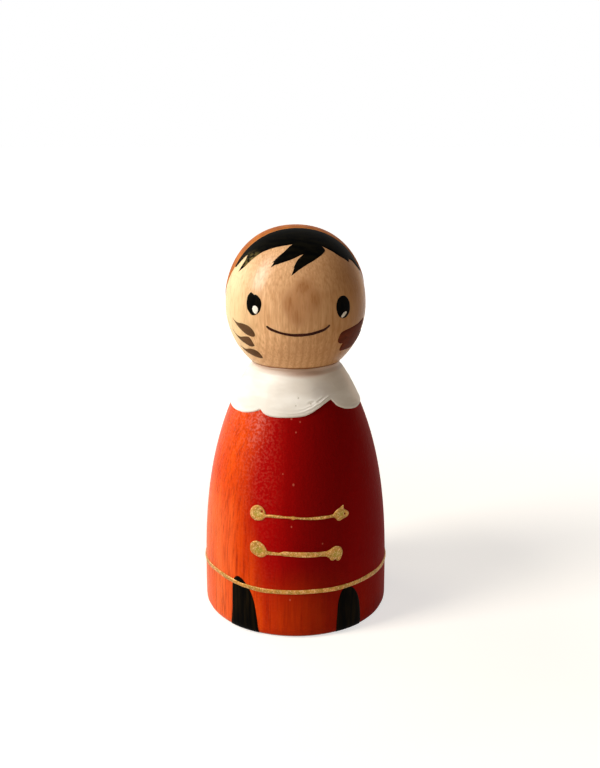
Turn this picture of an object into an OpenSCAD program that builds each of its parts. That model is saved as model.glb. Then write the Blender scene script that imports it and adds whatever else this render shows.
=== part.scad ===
// A peg doll: one turned wooden peg, with each layer of paint on it as a film of its own.
// Millimetres, +Z up. The doll stands on z = 0 around the Z axis and faces -Y.
// Left and right are as seen from in front. A turn is an angle about Z from straight ahead,
// and is positive to the right. A rise or a drop is measured along Z.

/* [Turned peg] */
// Height of the body, from the base to the neck groove
body_h = 58.3; // [50:0.1:70]
// Height from the neck groove to the widest level of the head
chin_h = 13.1; // [11:0.1:15.6]
// Height from the widest level of the head to the crown
crown_h = 17.6; // [14.6:0.1:21]
// Widest diameter of the head
head_d = 31.4; // [26:0.1:37.4]
// Diameter at the bottom of the neck groove
neck_d = 18.6; // [15.4:0.1:22.2]
// Widest diameter of the body, just above the foot
body_d = 42.6; // [35.3:0.1:50.7]
// Height of the rounded edge at the foot
foot_h = 2; // [1.6:0.1:2.4]
// How far the rounded edge draws in to the flat base
foot_in = 1.1; // [0.9:0.1:1.4]

/* [Paint] */
// Thickness of the red coat on the wood
coat_t = 0.15; // [0.12:0.01:0.18]
// Thickness of the collar, laid on thick
collar_t = 0.4; // [0.3:0.01:0.5]
// Thickness of the hair and of the cap
hair_t = 0.14; // [0.11:0.01:0.17]
// Thickness of the thin strokes: eyes, glints, mouth, cheeks and boots
stroke_t = 0.12; // [0.1:0.01:0.15]
// Thickness of the raised gold lines
gold_t = 0.25; // [0.2:0.01:0.3]

/* [Face] */
// Width of an eye
eye_w = 3.85; // [3.2:0.05:4.6]
// Height of an eye
eye_h = 4.7; // [3.9:0.05:5.6]
// Turn of the left eye
left_eye_turn = -34.4; // [-41:0.1:-28]
// Turn of the right eye
right_eye_turn = 40.3; // [33:0.1:48]
// Rise of the left eye's middle above the widest level of the head
left_eye_rise = 2.4; // [2:0.1:2.9]
// Rise of the right eye's middle above the widest level of the head
right_eye_rise = 1.6; // [1.3:0.1:2]
// Diameter of the round glint in the left eye, and width of the right one's dash
glint_d = 1.7; // [1.4:0.05:2.1]
// Width of the smile, from corner to corner
mouth_w = 13.3; // [11:0.1:15.9]
// Sag of the smile's middle below its corners
mouth_sag = 1.8; // [1.5:0.05:2.2]
// Width of the line that draws the smile
mouth_line = 0.5; // [0.4:0.01:0.6]
// Drop of the smile's corners below the widest level of the head
mouth_drop = 2; // [1.6:0.1:2.4]

/* [Collar] */
// Drop of the scallops' lowest points below the neck groove
collar_drop = 9.2; // [7.6:0.1:11]
// Rise of the points between scallops above the lowest points
collar_notch = 1.6; // [1.3:0.05:2]
// Drop of the collar's top edge below the neck groove
collar_top = 0.4; // [0.35:0.01:0.6]

/* [Gold braid] */
// Height of the upper braid above the base
upper_frog_z = 28.4; // [25.5:0.1:33.8]
// Height of the lower braid above the base
lower_frog_z = 20; // [17.5:0.1:22.5]
// Width of each braid between the middles of its knots
frog_w = 17.6; // [14.6:0.1:21]
// Shift of the upper braid to the right of the middle
upper_frog_shift = 0.9; // [0.7:0.1:1.1]
// Shift of the lower braid to the right of the middle
lower_frog_shift = 0.2; // [0.1:0.1:0.4]
// Diameter of a braid's knot
frog_knot_d = 3.4; // [2.8:0.1:4.1]
// Width of a braid's line
frog_line = 0.7; // [0.55:0.01:0.85]
// Height of the hem line above the base
hem_z = 11.4; // [10:0.1:13.6]
// Width of the hem line
hem_line = 0.95; // [0.8:0.01:1.15]

/* [Boots] */
// Width of a boot at the foot
boot_w = 7; // [5.8:0.1:8.4]
// Height of the left boot, which runs up past the hem line
left_boot_h = 13; // [11:0.1:15.5]
// Height of the right boot, which ends under the hem line
right_boot_h = 11.2; // [9.3:0.1:13.3]
// Turn of the left boot
left_boot_turn = -32.4; // [-38.7:0.1:-26.9]
// Turn of the right boot
right_boot_turn = 34.1; // [28.3:0.1:40.7]

/* [Hidden] */
$fn = 96;

// Gap between a layer of paint and what it lies on
film_gap = 0.02;
// Gap between two films that meet edge to edge
seam = 0.06;
// Drop of the coat's top edge below the neck groove
coat_top = 0.3;
// Height of the lower edge of the coat and the boots above the table
coat_hem = 0.6;
// How far a film's strip runs past the outline that trims it
overrun = 1;

// Roundness of the head above and below its widest level, where 2 is an ellipse
crown_power = 2.17;
chin_power = 1.94;
// Fullness of the body: how early it bulges, and how straight its sides run down
shoulder_power = 1.13;
side_power = 2.85;
// Flatness of the smile, where 2 is a parabola
smile_power = 2.4;
// Rise of the collar's scallops beside their lowest points, where 1 is half a sine wave
scallop_power = 0.7;

crown_steps = 24;
chin_steps = 18;
body_steps = 36;
foot_steps = 6;
curve_steps = 4;
scallop_steps = 12;
smile_steps = 20;
cap_steps = 8;

head_r = head_d / 2;
neck_r = neck_d / 2;
body_r = body_d / 2;
neck_z = body_h;
head_z = body_h + chin_h;
crown_z = head_z + crown_h;
// Every outline is drawn this far out from the axis, past the widest film
reach = max(body_r, head_r) + overrun;
// Lifts of the layers above the wood
on_wood = film_gap;
on_coat = on_wood + coat_t + film_gap;
on_eye = on_wood + stroke_t + film_gap;

// The half outline of the head, from the crown to the neck, as [radius, height].
// The chin's curve would close below the neck, which cuts it off at chin_end.
chin_end = acos(pow(neck_r / head_r, chin_power / 2));
chin_full_h = chin_h / pow(sin(chin_end), 2 / chin_power);
head_path = concat(
    [for (i = [0:crown_steps]) let (a = 90 * i / crown_steps)
        [head_r * pow(sin(a), 2 / crown_power), head_z + crown_h * pow(cos(a), 2 / crown_power)]],
    [for (i = [1:chin_steps]) let (a = chin_end * i / chin_steps)
        [head_r * pow(cos(a), 2 / chin_power), head_z - chin_full_h * pow(sin(a), 2 / chin_power)]]
);

// The half outline of the body, from the neck to the flat base
body_path = concat(
    [for (i = [0:body_steps]) let (t = i / body_steps)
        [neck_r + (body_r - neck_r) * pow(1 - pow(1 - t, side_power), 1 / shoulder_power),
         neck_z + (foot_h - neck_z) * t]],
    [for (i = [1:foot_steps]) let (a = 90 * i / foot_steps)
        [body_r - foot_in * (1 - cos(a)), foot_h * (1 - sin(a))]]
);

// The part of a path between two heights, with a point at each height
function between(path, low, high) =
    let (radii = [for (p = path) [p[1], p[0]]], first = path[0], last = path[len(path) - 1])
    concat(
        [high < first[1] ? [lookup(high, radii), high] : first],
        [for (p = path) if (p[1] < min(high, first[1]) && p[1] > max(low, last[1])) p],
        [low > last[1] ? [lookup(low, radii), low] : last]
    );

// The outward direction at a point of a path, which is straight up at the crown
function outward(path, i) =
    let (before = path[max(i - 1, 0)], after = path[min(i + 1, len(path) - 1)],
         run = path[i][0] == 0 ? [1, 0] : after - before)
    [-run[1], run[0]] / norm(run);

function lifted(path, lift) = [for (i = [0:len(path) - 1]) path[i] + lift * outward(path, i)];
function reversed(points) = [for (i = [len(points) - 1:-1:0]) points[i]];

// Points given as shares of a width and a height, at a height on the doll
function placed(shares, width, height, z = 0) =
    [for (p = shares) [p[0] * width, z + p[1] * height]];

// A closed curve through hand-chosen points
function curve_point(a, b, c, d, t) =
    (2 * b + (c - a) * t + (2 * a - 5 * b + 4 * c - d) * pow(t, 2)
        + (3 * b - a - 3 * c + d) * pow(t, 3)) / 2;
function smooth_loop(points) =
    let (n = len(points))
    [for (i = [0:n - 1], k = [0:curve_steps - 1])
        curve_point(points[(i + n - 1) % n], points[i], points[(i + 1) % n],
            points[(i + 2) % n], k / curve_steps)];

// A strip of paint all round the doll, between two heights of a path
module film(path, low, high, lift, thickness) {
    strip = between(path, low, high);
    rotate_extrude()
        polygon(concat(lifted(strip, lift + thickness), reversed(lifted(strip, lift))));
}

// An outline drawn on the side of the doll that a turn faces, and run out through the paint
module facing(turn) {
    rotate([90, 0, turn])
        linear_extrude(reach)
            children();
}

// A patch of paint: the part of a film inside an outline
module patch(path, low, high, lift, thickness, turn) {
    intersection() {
        film(path, low - overrun, high + overrun, lift, thickness);
        facing(turn) children();
    }
}

// A line of paint along a path, with round ends, that can grow wider from start to end
module line(path, start_width, end_width) {
    last = len(path) - 1;
    runs = [for (i = [0:last]) path[min(i + 1, last)] - path[max(i - 1, 0)]];
    halves = [for (i = [0:last]) (start_width + (end_width - start_width) * i / last) / 2];
    // The angle of the line at each point, and a point beside it at an angle from there
    angles = [for (run = runs) atan2(run[1], run[0])];
    function beside(i, a) = path[i] + halves[i] * [cos(angles[i] + a), sin(angles[i] + a)];
    polygon(concat(
        [for (i = [0:last]) beside(i, -90)],
        [for (k = [1:cap_steps - 1]) beside(last, 180 * k / cap_steps - 90)],
        [for (i = [last:-1:0]) beside(i, 90)],
        [for (k = [1:cap_steps - 1]) beside(0, 180 * k / cap_steps + 90)]
    ));
}

// The turned peg, all of one piece of wood
module turned_peg() {
    color("burlywood")
        rotate_extrude()
            polygon(concat(head_path, body_path, [[0, 0]]));
}

module red_coat() {
    color("firebrick")
        film(body_path, coat_hem, neck_z - coat_top, on_wood, coat_t);
}

// The collar has five uneven scallops. Each row gives the turn of the point where a scallop
// starts, as a share of a full turn, and how high that point is, as a share of collar_notch.
collar_shares = [[-0.09, 0.65], [0.098, 1.75], [0.29, 0.9], [0.5, 1.1], [0.71, 0.9]];

// One scallop, drawn facing its own middle. Its half width is where the notch beside it lies.
module scallop(i) {
    start = collar_shares[i];
    next = collar_shares[(i + 1) % len(collar_shares)];
    span = next[0] - start[0] + (next[0] < start[0] ? 1 : 0);
    low_z = neck_z - collar_drop;
    rim_r = lookup(-low_z, [for (p = body_path) [-p[1], p[0]]]);
    half_w = rim_r * sin(180 * span);
    start_z = low_z + start[1] * collar_notch;
    next_z = low_z + next[1] * collar_notch;
    edge = [for (k = [0:scallop_steps]) let (t = k / scallop_steps)
        let (line_z = start_z + (next_z - start_z) * t, sag = pow(sin(180 * t), scallop_power))
        [half_w * (2 * t - 1), line_z + (low_z - line_z) * sag]];
    facing(360 * (start[0] + span / 2))
        polygon(concat(edge, [[half_w, neck_z], [-half_w, neck_z]]));
}

module white_collar() {
    color("ivory")
        intersection() {
            film(body_path, neck_z - collar_drop - overrun, neck_z - collar_top, on_coat, collar_t);
            union() {
                for (i = [0:len(collar_shares) - 1])
                    scallop(i);
            }
        }
}

// The space that the cap's paint takes, drawn from the side: straight down in front of the
// crown, then curving back under the temples to the nape
cap_turn = 5;
cap_shares = [
    [-0.205, 1.1], [-0.205, 0.58], [-0.19, 0.5], [-0.1, 0.36], [0.03, 0.21], [0.16, 0.06],
    [0.32, -0.1], [0.51, -0.25], [0.78, -0.37], [1.1, -0.42], [1.1, 1.1]
];
module cap_space(forward = 0) {
    rotate([90, 0, 90 + cap_turn])
        translate([-forward, 0, -reach])
            linear_extrude(2 * reach)
                polygon(placed(cap_shares, head_r, crown_h, head_z));
}

module cap() {
    low_z = head_z + min([for (p = cap_shares) p[1]]) * crown_h;
    color("sienna")
        intersection() {
            film(head_path, low_z - overrun, crown_z, on_wood, hair_t);
            cap_space();
        }
}

// The fringe, drawn from the front: from the left temple's strands past the slanted locks of
// the forehead to the right temple, then round above the crown
hair_shares = [
    [-1.1, 0.52], [-0.82, 0.52], [-0.64, 0.67], [-0.78, 0.475], [-0.57, 0.64], [-0.43, 0.73],
    [-0.27, 0.79], [-0.06, 0.82], [-0.255, 0.69], [-0.32, 0.585], [-0.12, 0.63], [0.1, 0.715],
    [-0.01, 0.62], [-0.045, 0.49], [0.22, 0.62], [0.39, 0.73], [0.415, 0.765], [0.57, 0.69],
    [0.72, 0.59], [0.79, 0.57], [0.89, 0.45], [1.1, 0.44], [1.1, 1.1], [-1.1, 1.1]
];
module hair() {
    low_z = head_z + min([for (p = hair_shares) p[1]]) * crown_h;
    color("black")
        difference() {
            patch(head_path, low_z, crown_z, on_wood, hair_t, 0)
                polygon(placed(hair_shares, head_r, crown_h, head_z));
            cap_space(seam);
        }
}

// The left eye is a slightly notched blot, and the right one is a clean oval
left_eye_shares = [
    [-0.22, 0.48], [-0.02, 0.37], [0.14, 0.4], [0.46, 0.14], [0.48, -0.1], [0.34, -0.32],
    [-0.1, -0.49], [-0.37, -0.26], [-0.49, 0.06], [-0.42, 0.34]
];
module eye(turn, z) {
    color("black")
        patch(head_path, z - eye_h / 2, z + eye_h / 2, on_wood, stroke_t, turn)
            children();
}
left_eye_z = head_z + left_eye_rise;
right_eye_z = head_z + right_eye_rise;
module eye_left() {
    eye(left_eye_turn, left_eye_z)
        polygon(smooth_loop(placed(left_eye_shares, eye_w, eye_h, left_eye_z)));
}
oval_steps = 32;
module eye_right() {
    eye(right_eye_turn, right_eye_z)
        polygon([for (k = [0:oval_steps - 1]) let (a = 360 * k / oval_steps)
            [eye_w / 2 * cos(a), right_eye_z + eye_h / 2 * sin(a)]]);
}

// A glint lies on its eye: a round dot low on the left one, a slanted dash on the right one
glint_left_shares = [0.12, -0.25];
glint_right_shares = [0, -0.34];
dash_line_share = 0.4;
dash_tilt = 32;
module glint(turn, z) {
    color("white")
        patch(head_path, z - eye_h / 2, z + eye_h / 2, on_eye, stroke_t, turn)
            children();
}
module glint_left() {
    glint(left_eye_turn, left_eye_z)
        translate(placed([glint_left_shares], eye_w, eye_h, left_eye_z)[0])
            circle(d = glint_d);
}
module glint_right() {
    dash_line = dash_line_share * glint_d;
    half_dash = (glint_d - dash_line) / 2;
    glint(right_eye_turn, right_eye_z)
        translate(placed([glint_right_shares], eye_w, eye_h, right_eye_z)[0])
            rotate(dash_tilt)
                line([[-half_dash, 0], [half_dash, 0]], dash_line, dash_line);
}

// The smile is one thin line, a little higher at its right end
mouth_turn = 2.3;
mouth_tilt = 1.6;
module mouth() {
    corner_z = head_z - mouth_drop;
    smile = [for (k = [0:smile_steps]) let (t = 2 * k / smile_steps - 1)
        [t * mouth_w / 2, -mouth_sag * (1 - pow(abs(t), smile_power))]];
    color("maroon")
        patch(head_path, corner_z - mouth_sag, corner_z, on_wood, stroke_t, mouth_turn)
            translate([0, corner_z])
                rotate(mouth_tilt)
                    line(smile, mouth_line, mouth_line);
}

// The cheek strokes are dabs of a pointed brush. Each has a turn, and an outline in shares of
// the head's radius and chin_h. The left cheek has three.
left_cheek_turns = [-48, -52, -48];
left_cheek_shares = [
    [[-0.225, -0.12], [-0.09, -0.165], [0.06, -0.17], [0.16, -0.21], [0.21, -0.31],
     [0.14, -0.36], [0, -0.32], [-0.095, -0.25], [-0.18, -0.17]],
    [[-0.24, -0.325], [-0.155, -0.4], [-0.03, -0.42], [0.135, -0.39], [0.19, -0.44],
     [0.195, -0.54], [0.07, -0.545], [-0.04, -0.495], [-0.135, -0.435]],
    [[-0.22, -0.61], [-0.1, -0.655], [0.05, -0.62], [0.175, -0.64], [0.18, -0.74],
     [0.075, -0.76], [-0.04, -0.73], [-0.135, -0.685]]
];
// The right cheek has two broad dabs that run together and reach round the side
right_cheek_turns = [54, 58];
right_cheek_shares = [
    [[-0.25, -0.45], [-0.21, -0.3], [-0.09, -0.26], [0.12, -0.22], [0.29, -0.175],
     [0.4, -0.16], [0.32, -0.29], [0.2, -0.4], [0.03, -0.47], [-0.14, -0.52]],
    [[-0.185, -0.63], [-0.18, -0.55], [0, -0.45], [0.18, -0.4], [0.35, -0.35],
     [0.4, -0.4], [0.25, -0.55], [0.11, -0.64], [-0.08, -0.65]]
];
module cheek_dab(turn, shares) {
    patch(head_path, neck_z, head_z, on_wood, stroke_t, turn)
        polygon(smooth_loop(placed(shares, head_r, chin_h, head_z)));
}
module cheek_stroke_left(i) {
    color("saddlebrown")
        cheek_dab(left_cheek_turns[i], left_cheek_shares[i]);
}
module cheek_patch_right() {
    color("saddlebrown") {
        union() {
            for (i = [0:len(right_cheek_turns) - 1])
                cheek_dab(right_cheek_turns[i], right_cheek_shares[i]);
        }
    }
}

// A braid is a line between two knots. Its drop is how far the line hangs below the knots.
// The line starts inside the rim of each knot.
knot_rim_share = 0.36;
module frog(shift, z, drop, start_line, end_line) {
    rim_x = frog_w / 2 - knot_rim_share * frog_knot_d;
    bend_x = (frog_w - frog_knot_d) / 2;
    color("goldenrod")
        patch(body_path, z - frog_knot_d, z + frog_knot_d, on_coat, gold_t, 0)
            translate([shift, z]) {
                line([[-rim_x, 0], [-bend_x, -drop], [0, -drop], [bend_x, -drop], [rim_x, 0]],
                    start_line, end_line);
                children();
            }
}

// The upper braid has an open loop on the left and a blot with a spur on the right
loop_hole_share = 0.27;
spur_shares = [
    [0.55, -0.05], [0.3, 0.25], [0.15, 0.6], [-0.3, 0.42], [-0.5, 0.05], [-0.2, -0.48], [0.2, -0.4]
];
module upper_frog() {
    color("goldenrod")
        difference() {
            frog(upper_frog_shift, upper_frog_z, frog_line / 2, frog_line, frog_line) {
                translate([-frog_w / 2, 0])
                    circle(d = frog_knot_d);
                translate([frog_w / 2, 0])
                    polygon(smooth_loop(placed(spur_shares, frog_knot_d, frog_knot_d)));
            }
            facing(0)
                translate([upper_frog_shift - frog_w / 2, upper_frog_z])
                    circle(d = loop_hole_share * frog_knot_d);
        }
}

// The lower braid has a slanted bean on the left, a round blot on the right, and a line that
// grows wider to the right
bean_line_share = 0.75;
bean_reach_share = 0.3;
bean_tilt = -38;
lower_taper_share = 1.8;
module lower_frog() {
    bean_x = bean_reach_share * frog_knot_d;
    bean_line = bean_line_share * frog_knot_d;
    frog(lower_frog_shift, lower_frog_z, 0, frog_line, lower_taper_share * frog_line) {
        translate([-frog_w / 2, 0])
            rotate(bean_tilt)
                line([[-bean_x, 0], [bean_x, 0]], bean_line, bean_line);
        translate([frog_w / 2, 0])
            circle(d = frog_knot_d);
    }
}

// The outline of each boot, in shares of its width and height, down past its lower edge
left_boot_shares = [
    [-0.54, -0.1], [-0.52, 0.2], [-0.5, 0.5], [-0.48, 0.78], [-0.42, 0.93], [-0.25, 1],
    [-0.08, 0.97], [0.1, 0.88], [0.22, 0.79], [0.35, 0.66], [0.45, 0.4], [0.51, 0.1], [0.53, -0.1]
];
right_boot_shares = [
    [-0.43, -0.1], [-0.44, 0.15], [-0.44, 0.55], [-0.38, 0.77], [-0.27, 0.92], [-0.06, 1],
    [0.12, 0.96], [0.24, 0.85], [0.34, 0.7], [0.45, 0.48], [0.48, 0.15], [0.5, -0.1]
];
module boot_space(shares, height, turn, thickness) {
    intersection() {
        film(body_path, coat_hem, height + overrun, on_coat, thickness);
        facing(turn)
            polygon(placed(shares, boot_w, height));
    }
}
module left_boot_space(thickness) {
    boot_space(left_boot_shares, left_boot_h, left_boot_turn, thickness);
}
module right_boot_space(thickness) {
    boot_space(right_boot_shares, right_boot_h, right_boot_turn, thickness);
}
module boot_left() {
    color("black")
        left_boot_space(stroke_t);
}
module boot_right() {
    color("black")
        right_boot_space(stroke_t);
}

// The hem line runs all round, on the coat and over the tops of the boots
module hem_braid() {
    color("goldenrod")
        difference() {
            film(body_path, hem_z - hem_line / 2, hem_z + hem_line / 2, on_coat, gold_t);
            left_boot_space(stroke_t + film_gap);
            right_boot_space(stroke_t + film_gap);
        }
}

turned_peg();
red_coat();
white_collar();
hair();
cap();
eye_left();
eye_right();
glint_left();
glint_right();
mouth();
cheek_stroke_left(0);  // cheek_stroke_left_1
cheek_stroke_left(1);  // cheek_stroke_left_2
cheek_stroke_left(2);  // cheek_stroke_left_3
cheek_patch_right();
upper_frog();
lower_frog();
hem_braid();
boot_left();
boot_right();
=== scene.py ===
# The looks of the peg doll: a turned wooden peg under thin, hand-laid paint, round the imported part.
# The doll stands on z = 0 and faces -Y. Left and right are as seen from in front.
# A place on the doll is a turn, in degrees from straight ahead and positive to the right, and a height.
# Turned sizes and paint are written in millimetres, and every mesh is in metres.
import math

import bpy
import numpy as np
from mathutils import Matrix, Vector, noise


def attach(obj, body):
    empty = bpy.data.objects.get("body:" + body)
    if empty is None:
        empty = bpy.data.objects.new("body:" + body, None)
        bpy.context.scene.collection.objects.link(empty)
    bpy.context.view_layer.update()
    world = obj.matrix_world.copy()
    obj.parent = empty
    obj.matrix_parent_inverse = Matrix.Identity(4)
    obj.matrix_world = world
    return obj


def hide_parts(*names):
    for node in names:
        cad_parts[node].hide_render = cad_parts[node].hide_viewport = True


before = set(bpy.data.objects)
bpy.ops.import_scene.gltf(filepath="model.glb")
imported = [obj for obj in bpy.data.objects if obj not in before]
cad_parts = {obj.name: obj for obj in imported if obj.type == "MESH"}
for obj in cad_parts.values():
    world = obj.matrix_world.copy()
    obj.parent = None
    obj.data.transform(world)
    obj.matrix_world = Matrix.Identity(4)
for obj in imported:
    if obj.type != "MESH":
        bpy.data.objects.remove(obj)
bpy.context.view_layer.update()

MM = 0.001

# The turned form
body_h = 58.3
chin_h = 13.1
crown_h = 17.6
head_r = 15.7
neck_r = 9.3
body_r = 21.3
foot_h = 2.0
foot_in = 1.1
crown_power = 2.17
chin_power = 1.94
shoulder_power = 1.13
side_power = 2.85
head_z = body_h + chin_h
crown_z = head_z + crown_h

# The layers of paint: how high each starts above the wood, and how thick it is
on_wood = 0.01
under_coat = 0.02
on_coat = 0.19
on_eye = 0.13
coat_t = 0.15
collar_t = 0.3
cap_t = 0.14
hair_t = 0.09
stroke_t = 0.12
wash_t = 0.8 * stroke_t
gold_t = 0.25


def turned_outline():
    """The half outline of the peg, as radii and heights, from the crown to the foot's edge"""
    turns = np.radians(np.linspace(0, 90, 700))
    crown = np.column_stack([
        head_r * np.sin(turns) ** (2 / crown_power),
        head_z + crown_h * np.cos(turns) ** (2 / crown_power),
    ])
    chin_end = math.acos((neck_r / head_r) ** (chin_power / 2))
    chin_full_h = chin_h / math.sin(chin_end) ** (2 / chin_power)
    turns = np.linspace(0, chin_end, 400)[1:]
    chin = np.column_stack([
        head_r * np.cos(turns) ** (2 / chin_power),
        head_z - chin_full_h * np.sin(turns) ** (2 / chin_power),
    ])
    shares = np.linspace(0, 1, 900)[1:]
    body = np.column_stack([
        neck_r + (body_r - neck_r) * (1 - (1 - shares) ** side_power) ** (1 / shoulder_power),
        body_h + (foot_h - body_h) * shares,
    ])
    turns = np.radians(np.linspace(0, 90, 60))[1:]
    foot = np.column_stack([body_r - foot_in * (1 - np.cos(turns)), foot_h * (1 - np.sin(turns))])
    return evenly(np.vstack([crown, chin, body, foot]), 0.04)


def evenly(line, step):
    """A line's points set at even steps along it"""
    run = np.concatenate([[0], np.cumsum(np.linalg.norm(np.diff(line, axis=0), axis=1))])
    marks = np.linspace(0, run[-1], max(2, round(run[-1] / step) + 1))
    return np.column_stack([np.interp(marks, run, line[:, k]) for k in range(line.shape[1])])


outline = turned_outline()
outline[0] = [0, crown_z]
along = np.gradient(outline, axis=0)
outward = np.column_stack([-along[:, 1], along[:, 0]])
outward /= np.linalg.norm(outward, axis=1)[:, None]
outward[0] = [0, 1]


def at_height(z, values):
    """A value of the outline at a height on the doll"""
    return np.interp(-np.asarray(z, float), -outline[:, 1], values)


def radius(z):
    z = np.asarray(z, float)
    return np.where((z > crown_z) | (z < 0), 0.0, at_height(z, outline[:, 0]))


def spot(turn, z, lift=0.0):
    """The point at a turn and a height on the doll, lifted off the wood"""
    turn = np.radians(np.asarray(turn, float))
    out = at_height(z, outline[:, 0]) + lift * at_height(z, outward[:, 0])
    up = np.asarray(z, float) + lift * at_height(z, outward[:, 1])
    return np.column_stack(np.broadcast_arrays(out * np.sin(turn), -out * np.cos(turn), up))


def lifted(points, lift):
    """Points on the wood moved straight out from it"""
    reach = np.maximum(np.hypot(points[:, 0], points[:, 1]), 1e-6)
    out = at_height(points[:, 2], outward[:, 0]) * lift
    up = at_height(points[:, 2], outward[:, 1]) * lift
    return points + np.column_stack([points[:, 0] / reach * out, points[:, 1] / reach * out, up])


def facing(turn, tilt):
    """The directions right, up and outward of a sheet held in front of the doll"""
    a, b = math.radians(turn), math.radians(tilt)
    right = np.array([math.cos(a), math.sin(a), 0])
    out = np.array([math.sin(a) * math.cos(b), -math.cos(a) * math.cos(b), math.sin(b)])
    return right, np.cross(out, right), out


def onto_wood(points, out, farthest=60.0, halvings=36):
    """Points moved along one direction until they lie on the wood"""
    low = np.zeros(len(points))
    high = np.full(len(points), farthest)
    for _ in range(halvings):
        half = (low + high) / 2
        tried = points + half[:, None] * out
        inside = np.hypot(tried[:, 0], tried[:, 1]) < radius(tried[:, 2])
        low = np.where(inside, half, low)
        high = np.where(inside, high, half)
    return points + low[:, None] * out


# Working on one piece at a time

def select_only(piece):
    bpy.ops.object.select_all(action="DESELECT")
    piece.select_set(True)
    bpy.context.view_layer.objects.active = piece


def new_piece(name):
    piece = bpy.context.object
    piece.name = name
    piece.data.name = name
    return piece


def points_of(piece):
    points = np.zeros(len(piece.data.vertices) * 3)
    piece.data.vertices.foreach_get("co", points)
    return points.reshape(-1, 3)


def set_points(piece, points):
    piece.data.vertices.foreach_set("co", np.asarray(points, float).ravel())
    piece.data.update()


def edit_all(piece):
    select_only(piece)
    bpy.ops.object.mode_set(mode="EDIT")
    bpy.ops.mesh.select_all(action="SELECT")


def end_edit():
    bpy.ops.object.mode_set(mode="OBJECT")


def extrude_up(piece, height):
    """Makes a flat face or sheet a closed form of one height"""
    edit_all(piece)
    bpy.ops.mesh.extrude_region_move(TRANSFORM_OT_translate={"value": (0, 0, height)})
    bpy.ops.mesh.select_all(action="SELECT")
    bpy.ops.mesh.normals_make_consistent(inside=False)
    end_edit()


def smooth(piece, sharpest=50):
    select_only(piece)
    bpy.ops.object.shade_smooth_by_angle(angle=math.radians(sharpest))


def finished(piece, slot, finish, *nodes):
    """Gives a piece its finish, sets it on the doll and lets it stand for its CAD nodes"""
    piece.data.materials.clear()
    piece.data.materials.append(finish)
    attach(piece, "root")
    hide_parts(*nodes)
    return piece


# Pieces that go all round: a section is spun about the doll's axis

def spun(name, section, steps, ends_on_axis=False):
    """A closed section turned all round. One that starts and ends on the axis is left open there."""
    bpy.ops.mesh.primitive_circle_add(vertices=len(section), fill_type="NOTHING")
    piece = new_piece(name)
    set_points(piece, [(r, 0, z) for r, z in section])
    if ends_on_axis:
        closing = next(e for e in piece.data.edges if set(e.vertices) == {0, len(section) - 1})
        for edge in piece.data.edges:
            edge.select = edge == closing
        for vertex in piece.data.vertices:
            vertex.select = vertex.index in closing.vertices
        select_only(piece)
        bpy.ops.object.mode_set(mode="EDIT")
        bpy.ops.mesh.select_mode(type="EDGE")
        bpy.ops.mesh.delete(type="EDGE")
        bpy.ops.mesh.select_mode(type="VERT")
        end_edit()
    edit_all(piece)
    bpy.ops.mesh.spin(steps=steps, angle=math.tau, center=(0, 0, 0), axis=(0, 0, 1))
    bpy.ops.mesh.select_all(action="SELECT")
    bpy.ops.mesh.remove_doubles(threshold=1e-5)
    bpy.ops.mesh.normals_make_consistent(inside=False)
    end_edit()
    return piece


def section_places(piece, section):
    """Which point of its section each point of a spun piece came from, and its turn"""
    points = points_of(piece)
    flat = np.column_stack([np.hypot(points[:, 0], points[:, 1]), points[:, 2]])
    section = np.asarray(section)
    which = np.array([np.argmin(((section - p) ** 2).sum(1)) for p in flat])
    return which, np.degrees(np.arctan2(points[:, 0], -points[:, 1]))


# Pieces inside an outline: a flat sheet is cut to shape, and then laid on the doll

def drawn(runs):
    """A closed outline from brush edges: each run is one smooth edge, and corners lie between runs"""
    points = []
    for run in runs:
        run = np.asarray(run, float)
        if len(run) > 2:
            run = curved(run, closed=False)
        points.extend(run[:-1])
    return np.array(points)


def curved(points, closed=True, parts=5):
    """A smooth curve through given points"""
    points = np.asarray(points, float)
    n = len(points)
    made = []
    for i in range(n if closed else n - 1):
        if closed:
            a, b, c, d = (points[(i + k) % n] for k in (-1, 0, 1, 2))
        else:
            a, b, c, d = (points[min(max(i + k, 0), n - 1)] for k in (-1, 0, 1, 2))
        for k in range(parts):
            t = k / parts
            made.append((2 * b + (c - a) * t + (2 * a - 5 * b + 4 * c - d) * t ** 2
                         + (3 * b - a - 3 * c + d) * t ** 3) / 2)
    if not closed:
        made.append(points[-1])
    return np.array(made)


def brushed(path, widths):
    """The outline of a brush line along a path of flat points, with a width at each and round ends"""
    both = curved(np.column_stack([path, widths]), closed=False)
    path, halves = both[:, :2], both[:, 2] / 2
    run = np.gradient(path, axis=0)
    angles = np.arctan2(run[:, 1], run[:, 0])

    def beside(i, a):
        return path[i] + halves[i] * np.array([math.cos(angles[i] + a), math.sin(angles[i] + a)])

    last = len(path) - 1
    rounds = np.radians(np.arange(18, 180, 18))
    right = [beside(i, -math.pi / 2) for i in range(last + 1)]
    end = [beside(last, a - math.pi / 2) for a in rounds]
    left = [beside(i, math.pi / 2) for i in range(last, -1, -1)]
    start = [beside(0, a + math.pi / 2) for a in rounds]
    return np.array(right + end + left + start)


def brush_line(path, widths, reach):
    """The same for a path of turns and heights, where the doll's radius is about reach"""
    loop = brushed([(math.radians(turn) * reach, z) for turn, z in path], widths)
    return np.column_stack([np.degrees(loop[:, 0] / reach), loop[:, 1]])


def around(turn, z, shape):
    """Flat points beside a place on the doll, as turns and heights"""
    shape = np.asarray(shape, float)
    return np.column_stack([turn + np.degrees(shape[:, 0] / at_height(z + shape[:, 1], outline[:, 0])),
                            z + shape[:, 1]])


def rolled(share):
    """How far a rolled edge has risen at a share of its width"""
    return np.sqrt(1 - (1 - np.clip(share, 0, 1)) ** 2)


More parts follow.
